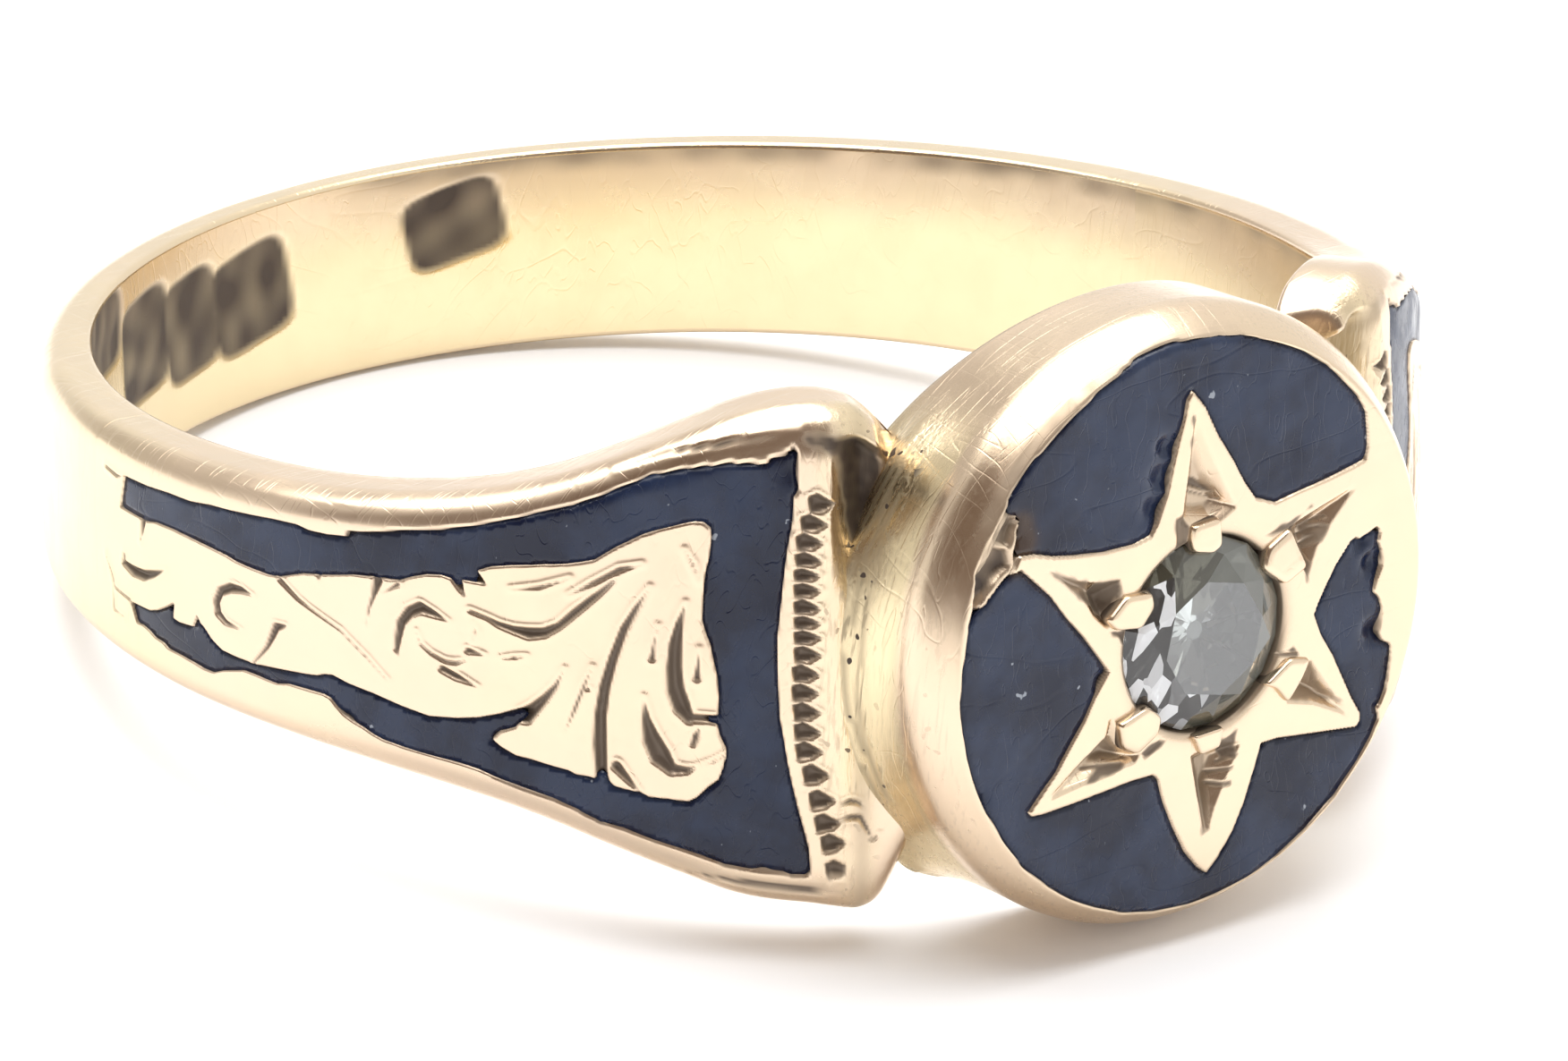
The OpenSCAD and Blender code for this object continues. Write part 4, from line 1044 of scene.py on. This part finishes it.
def makeEnamelPiece(name, sheet, place, surfaceDepth, thickness, worn, mirror=False):
    # top and bottom sheets joined by a wall along the border
    top, bottom, quads, rim = sheet
    count = len(top)
    topPoints = place(top[:, 0], top[:, 1], surfaceDepth(top[:, 0], top[:, 1]))
    bottomPoints = place(bottom[:, 0], bottom[:, 1], thickness + 0 * bottom[:, 0])
    points = np.concatenate([topPoints, bottomPoints])
    wall = np.stack([rim[:, 1], rim[:, 0], rim[:, 0] + count, rim[:, 1] + count], -1)
    faces = np.concatenate([quads, quads[:, ::-1] + count, wall])
    marks = {"worn": np.concatenate([worn(top[:, 0], top[:, 1]), np.zeros(count)])}
    if mirror:
        points = mirrored(points)
    return makePiece(name, points, faces, enamel, marks, len(wall))


enamelSizes = {
    "pitch": 0.055, "border": 0.012, "shoulderFloor": 0.06, "headFloor": 0.05, "shoulderThick": 0.12,
    "headThick": 0.20, "below": 0.025, "headBelow": 0.035, "chipDepth": 0.10, "shoulderChipDepth": 0.05,
}
# places where the head's enamel has broken away beside the star and the rim: x, z, size
headChips = [(-0.62, 1.75, .20), (-0.52, 2.15, .20), (-0.45, 2.55, .16), (-1.45, -0.45, .14),
             (3.10, 0.20, .16), (3.15, -0.75, .16), (-2.95, 1.85, .20), (2.90, 0.55, .12),
             (-3.50, -1.62, .10), (0.95, -2.05, .10)]
# the same on the shoulders: along, across, size
shoulderChips = [(5.20, 2.70, .22), (5.30, 2.85, .20), (11.25, -1.20, .12), (11.20, 1.36, .10),
                 (9.05, -1.12, .10), (5.60, -2.80, .10)]
# where the head's enamel is worn brown beside the broken rim
brownChips = [(-2.86, 1.95, 0.20), (-2.83, 1.77, 0.22), (-2.89, 1.62, 0.20), (-2.93, 1.46, 0.14),
              (-2.76, 1.83, 0.12)]


def chipped(x, z, chips):
    total = np.zeros(x.shape)
    for cx, cz, size in chips:
        total = np.maximum(total, np.exp(-((x - cx)**2 + (z - cz)**2) / size**2))
    return total


def placeOnHead(x, z, depth):
    return np.stack([x, -headSizes["face"] + depth, z], -1)


def placeOnShoulder(along, across, depth):
    # the band's outer face at that place, less the depth
    angle = np.degrees(along / arcRadius)
    r = bandRadius(angle) - surfaceDrop(angle, across) - depth
    t = np.radians(angle)
    return np.stack([-r * np.sin(t), -r * np.cos(t), across], -1)


def headEnamelDepth(x, z):
    waves = 0.006 * ripple(x, z, 21, 1.1) + 0.0022 * ripple(x, z, 22, 0.4)
    return (enamelSizes["headBelow"] + waves + rimDrop(x, z)
            + enamelSizes["chipDepth"] * chipped(x, z, headChips))


def shoulderEnamelDepth(along, across):
    return (enamelSizes["below"] + 0.005 * ripple(along, across, 23, 1.2)
            + enamelSizes["shoulderChipDepth"] * chipped(along, across, shoulderChips))


def headWear(x, z):
    return 0.95 * smooth(1.6 * chipped(x, z, brownChips))


def noWear(along, across):
    return np.zeros(along.shape)


# The stone

diamondSizes = {
    "x": 0.20, "z": -0.155, "table": 0.82, "girdle": 1.325, "crown": 0.32, "kiteHeight": 0.56,
    "girdleHeight": 0.05, "pavilion": 0.98, "mainWidth": 0.52, "mainDepth": 0.60, "culet": 0.14,
    "turn": 9.0, "sunk": 0.12, "flashToward": 198, "flashSpan": 62, "paintedDarkFrom": 0.4,
    # how dark the crown's facets are painted by direction in degrees, as dark reflection, and how
    # much every second differs
    "paintedDark": [[-180, 0.45], [-165, 0.3], [-130, 0.10], [-115, 0.9], [-60, 0.95], [-40, 0.85], [50, 0.85],
             [75, 0.95], [100, 0.75], [140, 0.5], [180, 0.45]],
    "uneven": [[-180, 0.45], [-120, 0.10], [80, 0.10], [120, 0.45], [180, 0.45]],
}


def stoneRing(count, shift, r, y):
    # count points on a circle, turned on by a share of their spacing
    t = np.radians(diamondSizes["turn"] + 360 * (np.arange(count) + shift) / count)
    return np.stack([r * np.cos(t), np.full(count, y), r * np.sin(t)], -1)


def makeDiamond():
    # old cut: eight-sided table, star and kite facets, sixteen-sided girdle, eight deep mains
    s = diamondSizes
    edge, kiteRadius = 0.5 * s["girdleHeight"], 0.5 * (s["table"] + s["girdle"]) + 0.03
    rows = [stoneRing(8, 0.0, s["table"], -s["crown"]),
            stoneRing(8, 0.5, kiteRadius, -s["kiteHeight"] * s["crown"]),
            stoneRing(16, 0.0, s["girdle"], -edge), stoneRing(16, 0.0, s["girdle"], edge),
            stoneRing(8, 0.0, s["mainWidth"] * s["girdle"], s["mainDepth"] * s["pavilion"]),
            stoneRing(8, 0.5, s["culet"], s["pavilion"])]
    middle = [s["x"], -headSizes["face"] + s["sunk"], s["z"]]
    points = np.concatenate(rows) + middle
    k, g = np.arange(8), np.arange(16)
    following, before = (k + 1) % 8, (k + 7) % 8
    table, kite, high, low, main, culet = k, 8 + k, 16, 32, 48 + k, 56 + k
    even, odd, nextEven = 2 * k, 2 * k + 1, (2 * k + 2) % 16
    faces = [list(table[::-1]), list(culet)]
    for corners in (
            [table, following, kite], [table, kite, high + even, 8 + before],        # stars, kites
            [kite, high + odd, high + even], [kite, high + nextEven, high + odd],    # upper halves
            [high + g, high + (g + 1) % 16, low + (g + 1) % 16, low + g],            # girdle
            [low + even, low + odd, culet, main], [low + odd, low + nextEven, 48 + following, culet],
            [culet, 48 + following, 56 + following]):
        faces += np.stack(corners, -1).tolist()
    mesh = bpy.data.meshes.new("diamondStone")
    mesh.from_pydata(toScene(points), [], faces)
    for glass in (stoneGlass, paintedDarkGlass, flashGlass):
        mesh.materials.append(glass)
    turnFacesOut(mesh)
    # the crown's facets are painted dark by their direction, and painted flashing on one side
    away = np.array([points[list(polygon.vertices)].mean(0) for polygon in mesh.polygons]) - middle
    toward = np.degrees(np.arctan2(away[:, 2], away[:, 0]))
    onCrown = (away[:, 1] < -0.05) & (np.hypot(away[:, 0], away[:, 2]) > 0.3)
    turns = 1 - 2 * (np.arange(len(away)) % 2)
    paintedDark = readTable(s["paintedDark"], toward) + turns * readTable(s["uneven"], toward)
    paintedDark = np.clip(np.where(onCrown, paintedDark, 0), 0, 1).astype(np.float32)
    flash = onCrown & (np.abs((toward - s["flashToward"] + 180) % 360 - 180) < s["flashSpan"])
    mesh.attributes.new("crown", "FLOAT", "FACE").data.foreach_set("value", paintedDark)
    glassNumber = np.where(flash, 2, paintedDark > s["paintedDarkFrom"]).astype(np.int32)
    mesh.polygons.foreach_set("material_index", glassNumber)
    return linkPiece("diamondStone", mesh)


def turnFacesOut(mesh):
    mesh.update()
    mesh.validate()
    work = bmesh.new()
    work.from_mesh(mesh)
    bmesh.ops.recalc_face_normals(work, faces=work.faces[:])
    work.to_mesh(mesh)
    work.free()


shoulderLeft = makeShoulder("shoulderLeft", False)
shoulderRight = makeShoulder("shoulderRight", True)
bandBack = makeBandBack()
headCup = makeHead()
beadGrains = makeGrains()
print("gold made")

shoulderSheet = enamelSheet(shoulderEnamelDistance, (4.8, 16.2), (-3.1, 3.1), enamelSizes["pitch"],
                            enamelSizes["border"], enamelSizes["shoulderFloor"])
headSheet = enamelSheet(headEnamelDistance, (-4.0, 4.0), (-4.0, 4.0), enamelSizes["pitch"],
                        enamelSizes["border"], enamelSizes["headFloor"])
enamelLeft, enamelRight = [
    makeEnamelPiece(name, shoulderSheet, placeOnShoulder, shoulderEnamelDepth,
                    enamelSizes["shoulderThick"], noWear, mirror)
    for name, mirror in (("shoulderEnamelLeft", False), ("shoulderEnamelRight", True))]
enamelHead = makeEnamelPiece("headEnamel", headSheet, placeOnHead, headEnamelDepth,
                             enamelSizes["headThick"], headWear)
diamondStone = makeDiamond()
print("enamel and stone made")

for piece, nodeName, slotName in (
        (bandBack, "ring_body", "gold"), (shoulderLeft, "ring_body", "gold"),
        (shoulderRight, "ring_body", "gold"), (headCup, "ring_body", "gold"),
        (beadGrains, "ring_body", "gold"), (enamelHead, "head_enamel", "enamel"),
        (enamelLeft, "shoulder_enamel_left", "enamel"), (enamelRight, "shoulder_enamel_right", "enamel"),
        (diamondStone, "diamond", "stone")):
    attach(piece, "root")
    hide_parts(nodeName)


# The table, the light and the camera

def makeFloor():
    material = bpy.data.materials.new("white table")
    material.use_nodes = True
    shader = material.node_tree.nodes["Principled BSDF"]
    shader.inputs["Base Color"].default_value = (0.945, 0.955, 0.975, 1)
    shader.inputs["Roughness"].default_value = 0.55
    shader.inputs["Emission Color"].default_value = (1, 1, 1, 1)
    shader.inputs["Emission Strength"].default_value = 0.05
    half = 0.8
    mesh = bpy.data.meshes.new("tableTop")
    corners = [(-half, -half, 0), (half, -half, 0), (half, half, 0), (-half, half, 0)]
    mesh.from_pydata(corners, [], [(0, 1, 2, 3)])
    mesh.materials.append(material)
    floor = bpy.data.objects.new("tableTop", mesh)
    bpy.context.scene.collection.objects.link(floor)


# soft darker parts of the room, as seen in the gold: direction, how wide (cosines), how dark
roomShades = [((-0.50, -0.50, 0.70), 0.56, 0.86, 0.92), ((-0.90, 0.07, 0.43), 0.83, 0.97, 0.80),
              ((-0.32, 0.83, 0.42), 0.80, 0.97, 0.45)]


def makeRoom():
    # a bright room with soft darker patches, each a smooth step of the angle to its direction
    world = bpy.data.worlds.new("bright room")
    bpy.context.scene.world = world
    world.use_nodes = True
    tree = world.node_tree
    background = tree.nodes["Background"]
    nodes = {"where": tree.nodes.new("ShaderNodeTexCoord"), "background": background}
    for number, (toward, fade, full, dark) in enumerate(roomShades):
        length = math.sqrt(sum(v * v for v in toward))
        made = addNodes(
            tree, dot=("VectorMath", {"operation": "DOT_PRODUCT", 1: [v / length for v in toward]}),
            step=("MapRange", {"interpolation_type": "SMOOTHSTEP", 1: fade, 2: full, 3: 0.0, 4: dark}),
            mix=("Mix", {"data_type": "RGBA", 6: (1.0, 1.0, 0.995, 1), 7: (0.16, 0.11, 0.085, 1)}))
        nodes |= {name + str(number): node for name, node in made.items()}
        wire(tree, nodes, f"where.Generated > dot{number}.0", f"dot{number}.Value > step{number}.0",
             f"step{number}.0 > mix{number}.0")
        if number:
            wire(tree, nodes, f"mix{number - 1}.2 > mix{number}.6")
    wire(tree, nodes, f"mix{len(roomShades) - 1}.2 > background.0")
    background.inputs[1].default_value = 1.05


def makeLight(name, place, target, size, power):
    # a square soft light that faces its target
    data = bpy.data.lights.new(name, "AREA")
    data.size = size
    data.energy = power
    lamp = bpy.data.objects.new(name, data)
    bpy.context.scene.collection.objects.link(lamp)
    away = np.array(place, float) - np.array(target, float)
    back = away / np.linalg.norm(away)
    right = np.cross([0, 0, 1.0], back)
    right = right / np.linalg.norm(right)
    up = np.cross(back, right)
    turn = Matrix(np.stack([right, up, back], 1).tolist()).to_4x4()
    lamp.matrix_world = Matrix.Translation(place) @ turn


cameraPlace = {
    "mm": (-71.3669, -95.5509, 40.2445), "right": (0.795896, -0.605430, -0.002146),
    "up": (0.201905, 0.262079, 0.943689), "focalPixels": 10119.39, "imageWidth": 1752,
}


def makeCamera():
    # the place and axes are given in the ring's own frame, and are laid on the floor with it
    place = toScene(np.array(cameraPlace["mm"], float))
    right, up = np.array(cameraPlace["right"]), np.array(cameraPlace["up"])
    axes = np.stack([right, up, np.cross(right, up)], 0)
    laid = np.stack([axes[:, 0], axes[:, 1] * tiltCos + axes[:, 2] * tiltSin,
                     axes[:, 2] * tiltCos - axes[:, 1] * tiltSin], -1)
    data = bpy.data.cameras.new("view")
    data.sensor_fit = "HORIZONTAL"
    data.sensor_width = 36.0
    data.lens = 36.0 * cameraPlace["focalPixels"] / cameraPlace["imageWidth"]
    data.clip_start, data.clip_end = 0.01, 20
    camera = bpy.data.objects.new("view", data)
    bpy.context.scene.collection.objects.link(camera)
    camera.matrix_world = Matrix.Translation(place.tolist()) @ Matrix(laid.T.tolist()).to_4x4()
    bpy.context.scene.camera = camera


makeFloor()
makeRoom()
makeLight("overhead", (0.0, 0.13, 0.48), (0, 0, 0), 0.58, 4.0)
makeCamera()
bpy.context.scene.view_settings.view_transform = "Standard"
print("table, light and camera made")
